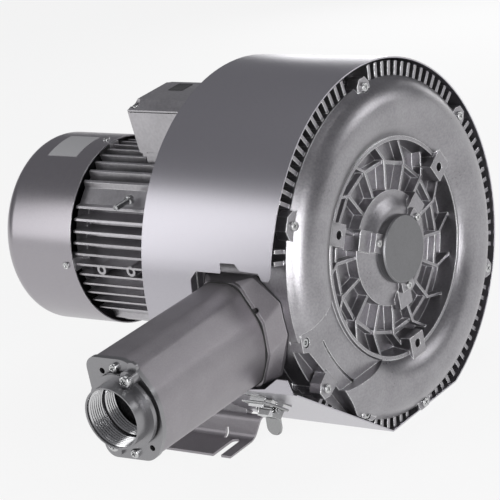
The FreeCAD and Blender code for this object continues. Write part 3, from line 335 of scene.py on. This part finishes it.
def buildFineLines():
    # parallel marks of rolling, turning or a laminated stack, stretched along the other two axes
    group, start, end = newGroup("fineLines", [("AlongX", 1.0), ("AlongY", 1.0), ("AlongZ", 1.0)], ["Lines"])
    here = group.nodes.new("ShaderNodeTexCoord").outputs["Object"]
    stretch = group.nodes.new("ShaderNodeCombineXYZ")
    for i, label in enumerate(("AlongX", "AlongY", "AlongZ")):
        group.links.new(start.outputs[label], stretch.inputs[i])
    scaled = group.nodes.new("ShaderNodeVectorMath")
    scaled.operation = "MULTIPLY"
    group.links.new(here, scaled.inputs[0])
    group.links.new(stretch.outputs[0], scaled.inputs[1])
    group.links.new(noiseNode(group, scaled.outputs[0], 1.0, 3.0, 0.6), end.inputs["Lines"])
    return group


def buildTurnedRings():
    # lathe marks: rings about an axis along Y that passes through CentreX, CentreZ (metres)
    sockets = [("CentreX", 0.0), ("CentreZ", 0.215), ("Pitch", 900.0)]
    group, start, end = newGroup("turnedRings", sockets, ["Rings"])
    split = group.nodes.new("ShaderNodeSeparateXYZ")
    group.links.new(group.nodes.new("ShaderNodeTexCoord").outputs["Object"], split.inputs[0])
    dx = mathNode(group, "SUBTRACT", split.outputs[0], start.outputs["CentreX"])
    dz = mathNode(group, "SUBTRACT", split.outputs[2], start.outputs["CentreZ"])
    square = mathNode(group, "ADD", mathNode(group, "MULTIPLY", dx, dx), mathNode(group, "MULTIPLY", dz, dz))
    radius = mathNode(group, "MULTIPLY", mathNode(group, "SQRT", square), start.outputs["Pitch"])
    along = mathNode(group, "MULTIPLY", split.outputs[1], start.outputs["Pitch"])
    place = group.nodes.new("ShaderNodeCombineXYZ")
    group.links.new(radius, place.inputs[0])
    group.links.new(along, place.inputs[1])
    group.links.new(noiseNode(group, place.outputs[0], 1.0, 2.0, 0.5), end.inputs["Rings"])
    return group


castGrain = buildCastGrain()
edgeWearAndHighlight = buildEdgeWearAndHighlight()
paintFleck = buildPaintFleck()
fineLines = buildFineLines()
turnedRings = buildTurnedRings()
print("shader groups built")

# Finish of each material slot. low and high are the two ends of its colour. edge is the light colour laid
# along the edges: part rub marks, part painted edge highlight.
finishes = {
    "cast": {"low": (0.265, 0.258, 0.272), "high": (0.405, 0.396, 0.415), "edge": (0.97, 0.97, 0.98),
             "metal": 0.95, "rough": (0.27, 0.36), "bump": 0.28, "depth": 0.0005, "effect": "grain",
             "grain": 850.0, "rubAndHighlight": 1.8, "round": 0.0015},
    "castFine": {"low": (0.27, 0.268, 0.278), "high": (0.34, 0.338, 0.348), "edge": (0.9, 0.9, 0.91),
                 "metal": 0.95,
                 "rough": (0.28, 0.34), "bump": 0.04, "depth": 0.0002, "effect": "fleck", "rubAndHighlight": 0.0},
    "threadCut": {"low": (0.55, 0.55, 0.555), "high": (0.7, 0.7, 0.71), "edge": (0.8, 0.8, 0.8), "metal": 1.0,
                  "rough": (0.16, 0.24), "bump": 0.03, "depth": 0.0002, "effect": "fleck", "rubAndHighlight": 0.0},
    "barePlate": {"low": (0.52, 0.52, 0.53), "high": (0.62, 0.62, 0.63), "edge": (0.8, 0.8, 0.8),
                  "metal": 0.25,
                  "rough": (0.4, 0.5), "bump": 0.05, "depth": 0.0002, "effect": "fleck", "rubAndHighlight": 0.0},
    "darkPlate": {"low": (0.05, 0.05, 0.052), "high": (0.09, 0.09, 0.092), "edge": (0.4, 0.4, 0.4),
                  "metal": 0.2,
                  "rough": (0.4, 0.5), "bump": 0.05, "depth": 0.0002, "effect": "fleck", "rubAndHighlight": 0.4},
    "machined": {"low": (0.19, 0.19, 0.197), "high": (0.235, 0.235, 0.243), "edge": (0.8, 0.8, 0.82),
                 "metal": 0.92, "rough": (0.38, 0.44), "bump": 0.10, "depth": 0.0003, "effect": "grain",
                 "grain": 1100.0, "rubAndHighlight": 0.6},
    "shroud_sheet": {"low": (0.465, 0.452, 0.49), "high": (0.555, 0.541, 0.58), "edge": (0.85, 0.85, 0.87),
                     "metal": 0.92, "rough": (0.27, 0.33), "bump": 0.05, "depth": 0.0003, "effect": "fleck",
                     "rubAndHighlight": 0.25, "round": 0.0005},
    "satin_paint": {"low": (0.30, 0.284, 0.302), "high": (0.40, 0.380, 0.402), "edge": (0.8, 0.8, 0.81),
                    "metal": 0.9,
                    "rough": (0.42, 0.50), "bump": 0.14, "depth": 0.0003, "effect": "grain", "grain": 1500.0,
                    "rubAndHighlight": 0.4},
    "cowl_sheet": {"low": (0.355, 0.338, 0.362), "high": (0.435, 0.415, 0.442), "edge": (0.95, 0.95, 0.95),
                   "metal": 0.9,
                   "rough": (0.26, 0.32), "bump": 0.06, "depth": 0.0003, "effect": "fleck", "rubAndHighlight": 1.0},
    "motor_paint": {"low": (0.42, 0.41, 0.428), "high": (0.58, 0.566, 0.588), "edge": (0.92, 0.92, 0.93),
                    "metal": 0.88,
                    "rough": (0.32, 0.44), "bump": 0.3, "depth": 0.0005, "effect": "grain", "grain": 600.0,
                    "rubAndHighlight": 0.9},
    "zinc": {"low": (0.40, 0.405, 0.41), "high": (0.60, 0.605, 0.61), "edge": (0.85, 0.85, 0.86),
             "metal": 1.0, "rough": (0.18, 0.30), "bump": 0.05, "depth": 0.0002, "effect": "fleck",
             "rubAndHighlight": 0.3, "round": 0.0004},
    "latchZinc": {"low": (0.26, 0.262, 0.264), "high": (0.42, 0.422, 0.425), "edge": (0.95, 0.95, 0.96),
                  "metal": 1.0, "rough": (0.18, 0.28), "bump": 0.08, "depth": 0.0002, "effect": "fleck",
                  "rubAndHighlight": 1.0, "round": 0.0006},
    "screwZinc": {"low": (0.50, 0.503, 0.505), "high": (0.64, 0.643, 0.646), "edge": (0.85, 0.85, 0.86),
                  "metal": 1.0, "rough": (0.22, 0.32), "bump": 0.05, "depth": 0.0002, "effect": "fleck",
                  "rubAndHighlight": 0.8, "round": 0.0004},
    "steel": {"low": (0.50, 0.50, 0.52), "high": (0.60, 0.60, 0.62), "edge": (0.75, 0.75, 0.77), "metal": 1.0,
              "rough": (0.16, 0.26), "bump": 0.08, "depth": 0.0002, "effect": "rings", "rubAndHighlight": 0.2},
    "lamination": {"low": (0.10, 0.10, 0.11), "high": (0.24, 0.24, 0.26), "edge": (0.45, 0.45, 0.47),
                   "metal": 0.8,
                   "rough": (0.35, 0.5), "bump": 0.3, "depth": 0.0004, "effect": "lines",
                   "along": (20.0, 2000.0, 20.0), "rubAndHighlight": 0.2},
    "copper": {"low": (0.30, 0.11, 0.05), "high": (0.62, 0.28, 0.14), "edge": (0.75, 0.4, 0.2), "metal": 0.85,
               "rough": (0.25, 0.4), "bump": 0.6, "depth": 0.0008, "effect": "lines",
               "along": (900.0, 250.0, 900.0), "rubAndHighlight": 0.1},
    "gasket": {"low": (0.018, 0.018, 0.018), "high": (0.035, 0.035, 0.035), "edge": (0.06, 0.06, 0.06),
               "metal": 0.0, "rough": (0.7, 0.9), "bump": 0.3, "depth": 0.0004, "effect": "grain",
               "grain": 1500.0, "rubAndHighlight": 0.1},
    "seal_rubber": {"low": (0.015, 0.015, 0.016), "high": (0.03, 0.03, 0.03), "edge": (0.05, 0.05, 0.05),
                    "metal": 0.0,
                    "rough": (0.45, 0.6), "bump": 0.1, "depth": 0.0002, "effect": "rings", "rubAndHighlight": 0.1},
    "foam": {"low": (0.03, 0.03, 0.032), "high": (0.10, 0.10, 0.105), "edge": (0.12, 0.12, 0.12),
             "metal": 0.0, "rough": (0.9, 1.0), "bump": 0.9, "depth": 0.002, "effect": "grain",
             "grain": 320.0, "rubAndHighlight": 0.1},
    "fan_plastic": {"low": (0.022, 0.022, 0.024), "high": (0.035, 0.035, 0.038), "edge": (0.08, 0.08, 0.08),
                    "metal": 0.0, "rough": (0.42, 0.55), "bump": 0.1, "depth": 0.0002, "effect": "grain",
                    "grain": 1200.0, "rubAndHighlight": 0.2},
    "insulator": {"low": (0.02, 0.02, 0.022), "high": (0.04, 0.04, 0.043), "edge": (0.1, 0.1, 0.1),
                  "metal": 0.0,
                  "rough": (0.35, 0.5), "bump": 0.12, "depth": 0.0002, "effect": "grain", "grain": 1100.0,
                  "rubAndHighlight": 0.2},
}


def useGroup(tree, group, **values):
    node = tree.nodes.new("ShaderNodeGroup")
    node.node_tree = group
    for label, value in values.items():
        node.inputs[label].default_value = value
    return node


def mixColour(tree, factor, a, b):
    mix = tree.nodes.new("ShaderNodeMix")
    mix.data_type = "RGBA"
    tree.links.new(factor, mix.inputs[0])
    for socket, value in ((mix.inputs[6], a), (mix.inputs[7], b)):
        if isinstance(value, tuple):
            socket.default_value = (*value, 1)
        else:
            tree.links.new(value, socket)
    return mix.outputs[2]


def effectOf(tree, finish):
    # height and tone of the surface, both about 0 to 1
    kind = finish["effect"]
    if kind == "grain":
        node = useGroup(tree, castGrain, Grain=finish["grain"])
        return node.outputs["Height"], node.outputs["Mottle"]
    if kind == "fleck":
        node = useGroup(tree, paintFleck)
        return node.outputs["Height"], node.outputs["Spark"]
    if kind == "rings":
        node = useGroup(tree, turnedRings)
        return node.outputs["Rings"], node.outputs["Rings"]
    x, y, z = finish["along"]
    node = useGroup(tree, fineLines, AlongX=x, AlongY=y, AlongZ=z)
    return node.outputs["Lines"], node.outputs["Lines"]


def makeFinish(name, finish):
    material = bpy.data.materials.new(name + "Finish")
    material.use_nodes = True
    tree = material.node_tree
    shader = tree.nodes["Principled BSDF"]
    shader.inputs["Metallic"].default_value = finish["metal"]
    height, tone = effectOf(tree, finish)
    spread = tree.nodes.new("ShaderNodeMapRange")
    spread.inputs["From Min"].default_value = 0.3
    spread.inputs["From Max"].default_value = 0.7
    tree.links.new(tone, spread.inputs["Value"])
    colour = mixColour(tree, spread.outputs["Result"], finish["low"], finish["high"])
    # edges are lightened towards the edge colour: part rub marks, part painted edge highlight
    if finish["rubAndHighlight"]:
        edges = useGroup(tree, edgeWearAndHighlight, Width=finish.get("round", 0.0008))
        rubbedAndLitEdge = mathNode(tree, "MULTIPLY", edges.outputs["Mask"], finish["rubAndHighlight"])
        colour = mixColour(tree, rubbedAndLitEdge, colour, finish["edge"])
    tree.links.new(colour, shader.inputs["Base Color"])
    rough = tree.nodes.new("ShaderNodeMapRange")
    rough.inputs["From Min"].default_value = 0.3
    rough.inputs["From Max"].default_value = 0.7
    rough.inputs["To Min"].default_value = finish["rough"][0]
    rough.inputs["To Max"].default_value = finish["rough"][1]
    tree.links.new(tone, rough.inputs["Value"])
    tree.links.new(rough.outputs["Result"], shader.inputs["Roughness"])
    bump = tree.nodes.new("ShaderNodeBump")
    bump.inputs["Strength"].default_value = finish["bump"]
    bump.inputs["Distance"].default_value = finish["depth"]
    tree.links.new(height, bump.inputs["Height"])
    if finish["rubAndHighlight"]:
        tree.links.new(edges.outputs["Normal"], bump.inputs["Normal"])
    tree.links.new(bump.outputs["Normal"], shader.inputs["Normal"])
    return material


materials = {slot: makeFinish(slot, finish) for slot, finish in finishes.items()}
for name, node in nodes.items():
    node.data.materials.clear()
    node.data.materials.append(materials[slotOf[name]])
print("finishes on", len(nodes), "nodes")


# Smooth copies of the frame's nodes
def dress(piece, body, slot, *replaced, finish=None):
    piece.data.materials.clear()
    piece.data.materials.append(materials[finish or slot])
    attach(piece, body)
    if replaced:
        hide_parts(*replaced)


def smoothCopy(name, angle=35):
    piece = bpy.data.objects.new(name + "Skin", nodes[name].data.copy())
    scene.collection.objects.link(piece)
    selectOnly(piece)
    bpy.ops.mesh.customdata_custom_splitnormals_clear()
    bpy.ops.object.mode_set(mode="EDIT")
    bpy.ops.mesh.select_all(action="SELECT")
    bpy.ops.mesh.remove_doubles(threshold=0.000005)
    bpy.ops.object.mode_set(mode="OBJECT")
    smoothByAngle(piece, angle)
    dress(piece, bodyOf[name], slotOf[name], name)
    return piece


skins = {name: smoothCopy(name) for name in list(nodes)}
for name in ("outlet_flange", "inlet_flange"):
    skins[name].data.materials[0] = materials["castFine"]
print("smooth copies:", len(skins))


# Pipe threads (mm): a ridge wound along the bore from (x, y, z) inwards, with its turns, root and crest
# radius. rootShare and crestShare are the ridge's widths as shares of the pitch.
thread = {"pitch": 3.1, "steps": 72, "rootShare": 0.96, "crestShare": 0.2, "flangeEdge": 0.5,
          "ridges": {"outlet": (-429.2, 64.0, -13.0, 1, 7, 33.1, 31.5),
                     "outletInner": (-404.4, 64.0, -13.0, 1, 5, 31.4, 29.9),
                     "inlet": (251.2, 151.0, -16.0, -1, 7, 33.1, 31.5)},
          "bores": {"outlet_flange": (-431.0, -404.0, 64.0, -13.0, 33.0),
                    "inlet_flange": (253.0, 226.0, 151.0, -16.0, 33.0),
                    "silencer_liner": (-400.0, -386.0, 64.0, -13.0, 31.3)}}


def widenBore(name):
    x0, x1, y, z, radius = thread["bores"][name]
    cutAway(skins[name], [crossRod("bore", radius, x0, x1, y, z, 96)])


def buildThread(name):
    x, y, z, inwards, turns, root, crest = thread["ridges"][name]
    pitch = thread["pitch"] * mm
    clearSelection()
    bpy.ops.mesh.primitive_plane_add(size=pitch, location=(0, 0, 0))
    piece = bpy.context.object
    piece.name = name + "Thread"
    bpy.ops.object.mode_set(mode="EDIT")
    bpy.ops.mesh.select_all(action="SELECT")
    # the plane stands up in XZ; its outer edge keeps most of the pitch, its inner edge narrows to the crest
    bpy.ops.transform.rotate(value=math.radians(90), orient_axis="X", center_override=(0, 0, 0))
    bpy.ops.object.mode_set(mode="OBJECT")
    for side, radius, share in ((1, root, thread["rootShare"]), (-1, crest, thread["crestShare"])):
        pickPoints(piece, lambda place: place.z * side > 0)
        bpy.ops.transform.translate(value=(0, 0, radius * mm - side * pitch / 2))
        bpy.ops.transform.resize(value=(share, 1, 1), center_override=(0, 0, 0))
        bpy.ops.object.mode_set(mode="OBJECT")
    bpy.ops.object.mode_set(mode="EDIT")
    bpy.ops.mesh.select_all(action="SELECT")
    bpy.ops.mesh.delete(type="ONLY_FACE")
    bpy.ops.object.mode_set(mode="OBJECT")
    wind = piece.modifiers.new("wind", "SCREW")
    wind.axis = "X"
    wind.screw_offset = pitch
    wind.iterations = turns
    wind.steps = wind.render_steps = thread["steps"]
    wind.use_merge_vertices = True
    bpy.ops.object.modifier_apply(modifier="wind")
    bpy.ops.object.mode_set(mode="EDIT")
    bpy.ops.mesh.select_all(action="SELECT")
    bpy.ops.mesh.remove_doubles(threshold=0.000001)
    bpy.ops.mesh.select_all(action="DESELECT")
    bpy.ops.mesh.select_non_manifold()
    bpy.ops.mesh.edge_face_add()
    faceOutwards()
    piece.location = spot(x + inwards * thread["pitch"] / 2, y, z)
    if inwards < 0:
        piece.rotation_euler = (0, 0, math.pi)
    settle(piece)
    smoothByAngle(piece, 40)
    dress(piece, "housing", "cast", finish="threadCut")


for name in thread["bores"]:
    widenBore(name)
for name in ("outlet_flange", "inlet_flange"):
    breakEdges(skins[name], thread["flangeEdge"], 50)
for name in thread["ridges"]:
    buildThread(name)
print("threads wound")

# The adapter's foot ends behind the silencer (mm)
adapter = {"reach": 107.0}


def trimAdapter():
    clearSelection()
    bpy.ops.mesh.primitive_cube_add(size=0.1, location=spot(-200, adapter["reach"] + 50, 0))
    block = bpy.context.object
    block.scale = (1.0, 1.0, 2.0)
    settle(block)
    cutAway(skins["outlet_adapter"], [block])
    skins["outlet_adapter"].data.materials[0] = materials["satin_paint"]


trimAdapter()
skins["foot_bracket"].data.materials[0] = materials["satin_paint"]
for name in ("latch_base", "latch_catch", "latch_lever", "latch_bail"):
    skins[name].data.materials[0] = materials["latchZinc"]
print("adapter trimmed")

# Tongue of the latch lever: (x, z) of its free end, its two corners in y, and the corner radius (mm).
# An edge within near of a corner is rounded.
tongue = {"end": (-168.0, -162.3), "corners": (69.5, 90.5), "radius": 9.5, "near": 3.0}


def roundTongue():
    lever = skins["latch_lever"]
    x, z = tongue["end"]
    near = tongue["near"] * mm
    corners = [spot(x, y, z) for y in tongue["corners"]]
    pickEdges(lever, lambda a, b: any((a - c).length < near and (b - c).length < near for c in corners))
    bpy.ops.mesh.bevel(offset=tongue["radius"] * mm, segments=8, affect="EDGES")
    bpy.ops.object.mode_set(mode="OBJECT")
    smoothByAngle(lever, 35)


roundTongue()
print("latch tongue rounded")


def frontRing(radius, y, angles):
    # seats on a circle about the shaft, looking to the front
    places = [(radius * math.cos(math.radians(a)), y, radius * math.sin(math.radians(a))) for a in angles]
    return [(place, (0, -1, 0)) for place in places]


# Cross-recessed screws: seats (x, y, z in mm) with the way the head looks; head is its radius and height,
# shank its radius and length, in mm
screws = {
    "cover_screws": {"seats": frontRing(192.5, -5.0, (90, 30, -30, -90, -150, 150)),
                     "head": (5.4, 3.3), "shank": (3.0, 56.0)},
    "hub_cap_screws": {"seats": frontRing(45, -14.0, (30, 150, 270)),
                       "head": (4.5, 2.75), "shank": (2.5, 19.0)},
    "end_plate_screws": {"seats": [((-404.8, y, z), (-1, 0, 0)) for y, z in ((67.0, 34.0), (65.0, -64.0))],
                         "head": (5.1, 4.8), "shank": (3.0, 18.0)},
    "outlet_flange_screws": {"seats": [((-413.8, y, z), (-1, 0, 0))
                                       for y, z in ((45.5, 25.5), (82.5, -51.5))],
                             "head": (6.8, 6.4), "shank": (4.0, 14.0)},
    "cowl_screws": {"seats": [((115 * x, 394.0, 115 * z), (x, 0, z))
                              for x, z in ((1, 0), (0, 1), (-1, 0), (0, -1))],
                    "head": (4.6, 2.6), "shank": (2.4, 12.0)},
    "lid_screws": {"seats": [((x, y, 172.5), (0, 0, 1)) for x in (-34, 34) for y in (222, 302)],
                   "head": (4.6, 3.2), "shank": (1.9, 14.0)}}
# Recess blades and rim of a head: length and width as shares of its radius, depth and rounding of its height
recess = {"length": 1.15, "width": 0.26, "depth": 1.2, "turns": (20, 110), "rim": 0.42}


def buildScrews(name):
    kind = screws[name]
    (head, high), (shank, deep) = kind["head"], kind["shank"]
    clearSelection()
    bpy.ops.mesh.primitive_cylinder_add(vertices=40, radius=head * mm, depth=high * mm,
                                        location=(0, 0, high / 2 * mm))
    master = bpy.context.object
    settle(master)
    pickFaces(master, lambda middle, normal: normal.z > 0.9)
    bpy.ops.mesh.bevel(offset=high * recess["rim"] * mm, segments=4, affect="EDGES")
    pickFaces(master, lambda middle, normal: normal.z < -0.9)
    bpy.ops.mesh.inset(thickness=(head - shank) * mm, depth=0)
    bpy.ops.mesh.extrude_region_move(TRANSFORM_OT_translate={"value": (0, 0, -deep * mm)})
    bpy.ops.object.mode_set(mode="OBJECT")
    blades = []
    for turn in recess["turns"]:
        clearSelection()
        bpy.ops.mesh.primitive_cube_add(size=1, location=(0, 0, high * mm),
                                        rotation=(0, 0, math.radians(turn)))
        blade = bpy.context.object
        blade.scale = Vector((head * recess["length"], head * recess["width"], high * recess["depth"])) * mm
        settle(blade)
        blades.append(blade)
    cutAway(master, blades)
    copies = []
    for place, aim in kind["seats"]:
        copy = bpy.data.objects.new(name + "Copy", master.data.copy())
        scene.collection.objects.link(copy)
        copy.rotation_euler = Vector(aim).to_track_quat("Z", "Y").to_euler()
        copy.location = spot(*place)
        settle(copy)
        copies.append(copy)
    bpy.data.objects.remove(master)
    selectOnly(*copies)
    bpy.ops.object.join()
    piece = bpy.context.object
    piece.name = name + "Set"
    bpy.data.objects.remove(skins.pop(name))
    dress(piece, "housing", "zinc", name, finish="screwZinc")


for name in screws:
    buildScrews(name)
print("screws set")

# Silencer: corners (y, z) about the neck's centre at the adapter and at the end plate, in mm. soft is the
# radius of the long edges, seam the depth of the dark gasket ring at the adapter, holes their radii.
silencer = {"centre": (64.0, -13.0), "rimX": -207.8, "plateX": -398.8, "plateFace": -404.8, "soft": 14.0,
            "wall": 4.0, "inset": 1.0, "seam": 1.9, "seamInset": 0.3, "seamGap": 0.2,
            "plateEdge": 0.7,
            "rim": [(40, 55.5), (-9, 55.5), (-34, 10), (-33, -28), (-14, -68), (40, -68)],
            "plate": [(43, 56), (-18, 56), (-45, 15), (-44, -24), (-25, -59), (43, -60)],
            "duct": 31.3, "screws": [(3, 47), (1, -51)], "clamps": [(-18.5, 38.5), (18.5, -38.5)],
            "plain": [(22, 41), (-23, -43)], "holes": {"screws": 3.4, "clamps": 4.1, "plain": 3.4}}


def sectionPrism(name, x0, corners0, x1, corners1):
    # six-sided primitive whose points are moved to the given corners, with its long edges rounded
    clearSelection()
    bpy.ops.mesh.primitive_cylinder_add(vertices=len(corners0), radius=0.05, depth=0.1, location=(0, 0, 0))
    piece = bpy.context.object
    piece.name = name
    count = len(corners0)
    y0, z0 = silencer["centre"]
    starts = sorted((point.co.copy() for point in piece.data.vertices),
                    key=lambda place: (place.z > 0, math.atan2(place.y, place.x) % (2 * math.pi)))
    for i, start in enumerate(starts):
        x, corners = (x0, corners0) if i < count else (x1, corners1)
        y, z = corners[i % count]
        pickPoints(piece, lambda place: (place - start).length < 1e-6)
        bpy.ops.transform.translate(value=spot(x, y0 + y, z0 + z) - start)
        bpy.ops.object.mode_set(mode="OBJECT")
    pickEdges(piece, lambda a, b: abs(a.x - b.x) > 1e-5)
    bpy.ops.mesh.bevel(offset=silencer["soft"] * mm, segments=12, profile=0.5, affect="EDGES")
    faceOutwards()
    return piece


def shrunk(corners, amount):
    # corners moved towards the centre by about the given wall
    return [(y - math.copysign(amount, y), z - math.copysign(amount, z)) for y, z in corners]


def buildSilencer():
    y0, z0 = silencer["centre"]
    x0, x1, face = silencer["rimX"], silencer["plateX"], silencer["plateFace"]
    inset = silencer["inset"]
    shell = sectionPrism("silencerShell", x0, shrunk(silencer["rim"], inset), x1,
                         shrunk(silencer["plate"], inset))
    wall = inset + silencer["wall"]
    inside = sectionPrism("silencerHollow", x0 + 1, shrunk(silencer["rim"], wall), x1 - 1,
                          shrunk(silencer["plate"], wall))
    cutAway(shell, [inside])
    dress(shell, "housing", "satin_paint", "silencer_tube")
    around = shrunk(silencer["rim"], silencer["seamInset"])
    seam = sectionPrism("silencerSeam", x0 - silencer["seamGap"], around, x0 - silencer["seam"], around)
    cutAway(seam, [crossRod("duct", silencer["duct"], x0 + 2, x0 - 4, y0, z0, 96)])
    dress(seam, "housing", "gasket")
    plate = sectionPrism("silencerPlate", x1, silencer["plate"], face, silencer["plate"])
    cutters = [crossRod("bore", silencer["duct"], x1 + 2, face - 2, y0, z0, 96)]
    for kind in ("screws", "clamps", "plain"):
        cutters += [crossRod("hole", silencer["holes"][kind], x1 + 2, face - 2, y0 + y, z0 + z)
                    for y, z in silencer[kind]]
    cutAway(plate, cutters)
    breakEdges(plate, silencer["plateEdge"], 50)
    dress(plate, "housing", "cast", "silencer_end_plate", finish="castFine")


for name in ("silencer_tube", "silencer_end_plate"):
    bpy.data.objects.remove(skins.pop(name))
buildSilencer()
print("silencer shaped")

# Stud on the motor's left side: (x, y, z) of its outer end, its sizes, its collar and the tapped hole's
# chamfer and depth, in mm
stud = {"end": (-109.0, 300.0, 76.0), "length": 22.0, "radius": 3.4, "collar": 5.6, "collarDepth": 6.0,
        "taper": 1.0, "rim": 0.9, "chamfer": 0.5, "hole": 1.2, "rounding": 0.4}


def buildStud():
    x, y, z = stud["end"]
    piece = crossRod("motorStud", stud["radius"], x, x + stud["length"], y, z, 32)
    settle(piece)
    pickFaces(piece, lambda middle, normal: normal.x < -0.9)
    bpy.ops.mesh.inset(thickness=stud["rim"] * mm, depth=0.0)
    bpy.ops.mesh.inset(thickness=stud["chamfer"] * mm, depth=-stud["hole"] * mm)
    bpy.ops.object.mode_set(mode="OBJECT")
    pickFaces(piece, lambda middle, normal: normal.x > 0.9)
    bpy.ops.mesh.extrude_region_move(TRANSFORM_OT_translate={"value": (stud["taper"] * mm, 0, 0)})
    wider = stud["collar"] / stud["radius"]
    bpy.ops.transform.resize(value=(1, wider, wider),
                             center_override=spot(x + stud["length"] + stud["taper"], y, z))
    bpy.ops.mesh.extrude_region_move(TRANSFORM_OT_translate={"value": (stud["collarDepth"] * mm, 0, 0)})
    bpy.ops.object.mode_set(mode="OBJECT")
    rounding = piece.modifiers.new("rounding", "BEVEL")
    rounding.width = stud["rounding"] * mm
    rounding.segments = 2
    bpy.ops.object.modifier_apply(modifier="rounding")
    smoothByAngle(piece, 40)
    dress(piece, "housing", "zinc")


buildStud()
print("stud set")

# Bare plates: on the cowl (angles from +X, degrees; y in mm) and on the terminal lid (mm), whose corners are
# rounded and whose middle lies a little lower than its rim
plates = {"cowlRadius": 115.05, "cowlAngles": (87.0, 111.0), "cowlY": (411.0, 457.0), "thick": 0.4,
          "sides": 180, "lid": (13.0, 270.0, 181.0), "lidSize": 22.0, "lidLift": 0.1, "lidCorner": 2.0,
          "lidRim": 1.2, "lidSunk": 0.15}


def buildCowlPlate():
    y0, y1 = plates["cowlY"]
    clearSelection()
    bpy.ops.mesh.primitive_cylinder_add(vertices=plates["sides"], radius=plates["cowlRadius"] * mm,
                                        depth=(y1 - y0) * mm, location=spot(0, (y0 + y1) / 2, 0),
                                        rotation=(math.pi / 2, 0, 0))
    piece = bpy.context.object
    piece.name = "cowlPlate"
    settle(piece)
    first, last = plates["cowlAngles"]

    def outside(middle, normal):
        angle = math.degrees(math.atan2(normal.z, normal.x))
        return abs(normal.y) > 0.5 or not first < angle < last
    pickFaces(piece, outside)
    bpy.ops.mesh.delete(type="FACE")
    bpy.ops.object.mode_set(mode="OBJECT")
    sheet = piece.modifiers.new("sheet", "SOLIDIFY")
    sheet.thickness = plates["thick"] * mm
    sheet.offset = 1
    selectOnly(piece)
    bpy.ops.object.modifier_apply(modifier="sheet")
    smoothByAngle(piece, 30)
    dress(piece, "housing", "zinc", finish="barePlate")


def buildLidPlate():
    x, y, z = plates["lid"]
    clearSelection()
    bpy.ops.mesh.primitive_plane_add(size=plates["lidSize"] * mm, location=spot(x, y, z + plates["lidLift"]))
    piece = bpy.context.object
    piece.name = "lidPlate"
    settle(piece)
    bpy.ops.object.mode_set(mode="EDIT")
    bpy.ops.mesh.select_all(action="SELECT")
    bpy.ops.mesh.bevel(offset=plates["lidCorner"] * mm, segments=5, affect="VERTICES")
    bpy.ops.mesh.select_all(action="SELECT")
    bpy.ops.mesh.extrude_region_move(TRANSFORM_OT_translate={"value": (0, 0, plates["thick"] * mm)})
    bpy.ops.mesh.inset(thickness=plates["lidRim"] * mm, depth=-plates["lidSunk"] * mm)
    faceOutwards()
    smoothByAngle(piece, 30)
    dress(piece, "housing", "zinc", finish="darkPlate")


buildCowlPlate()
buildLidPlate()
print("bare plates set")
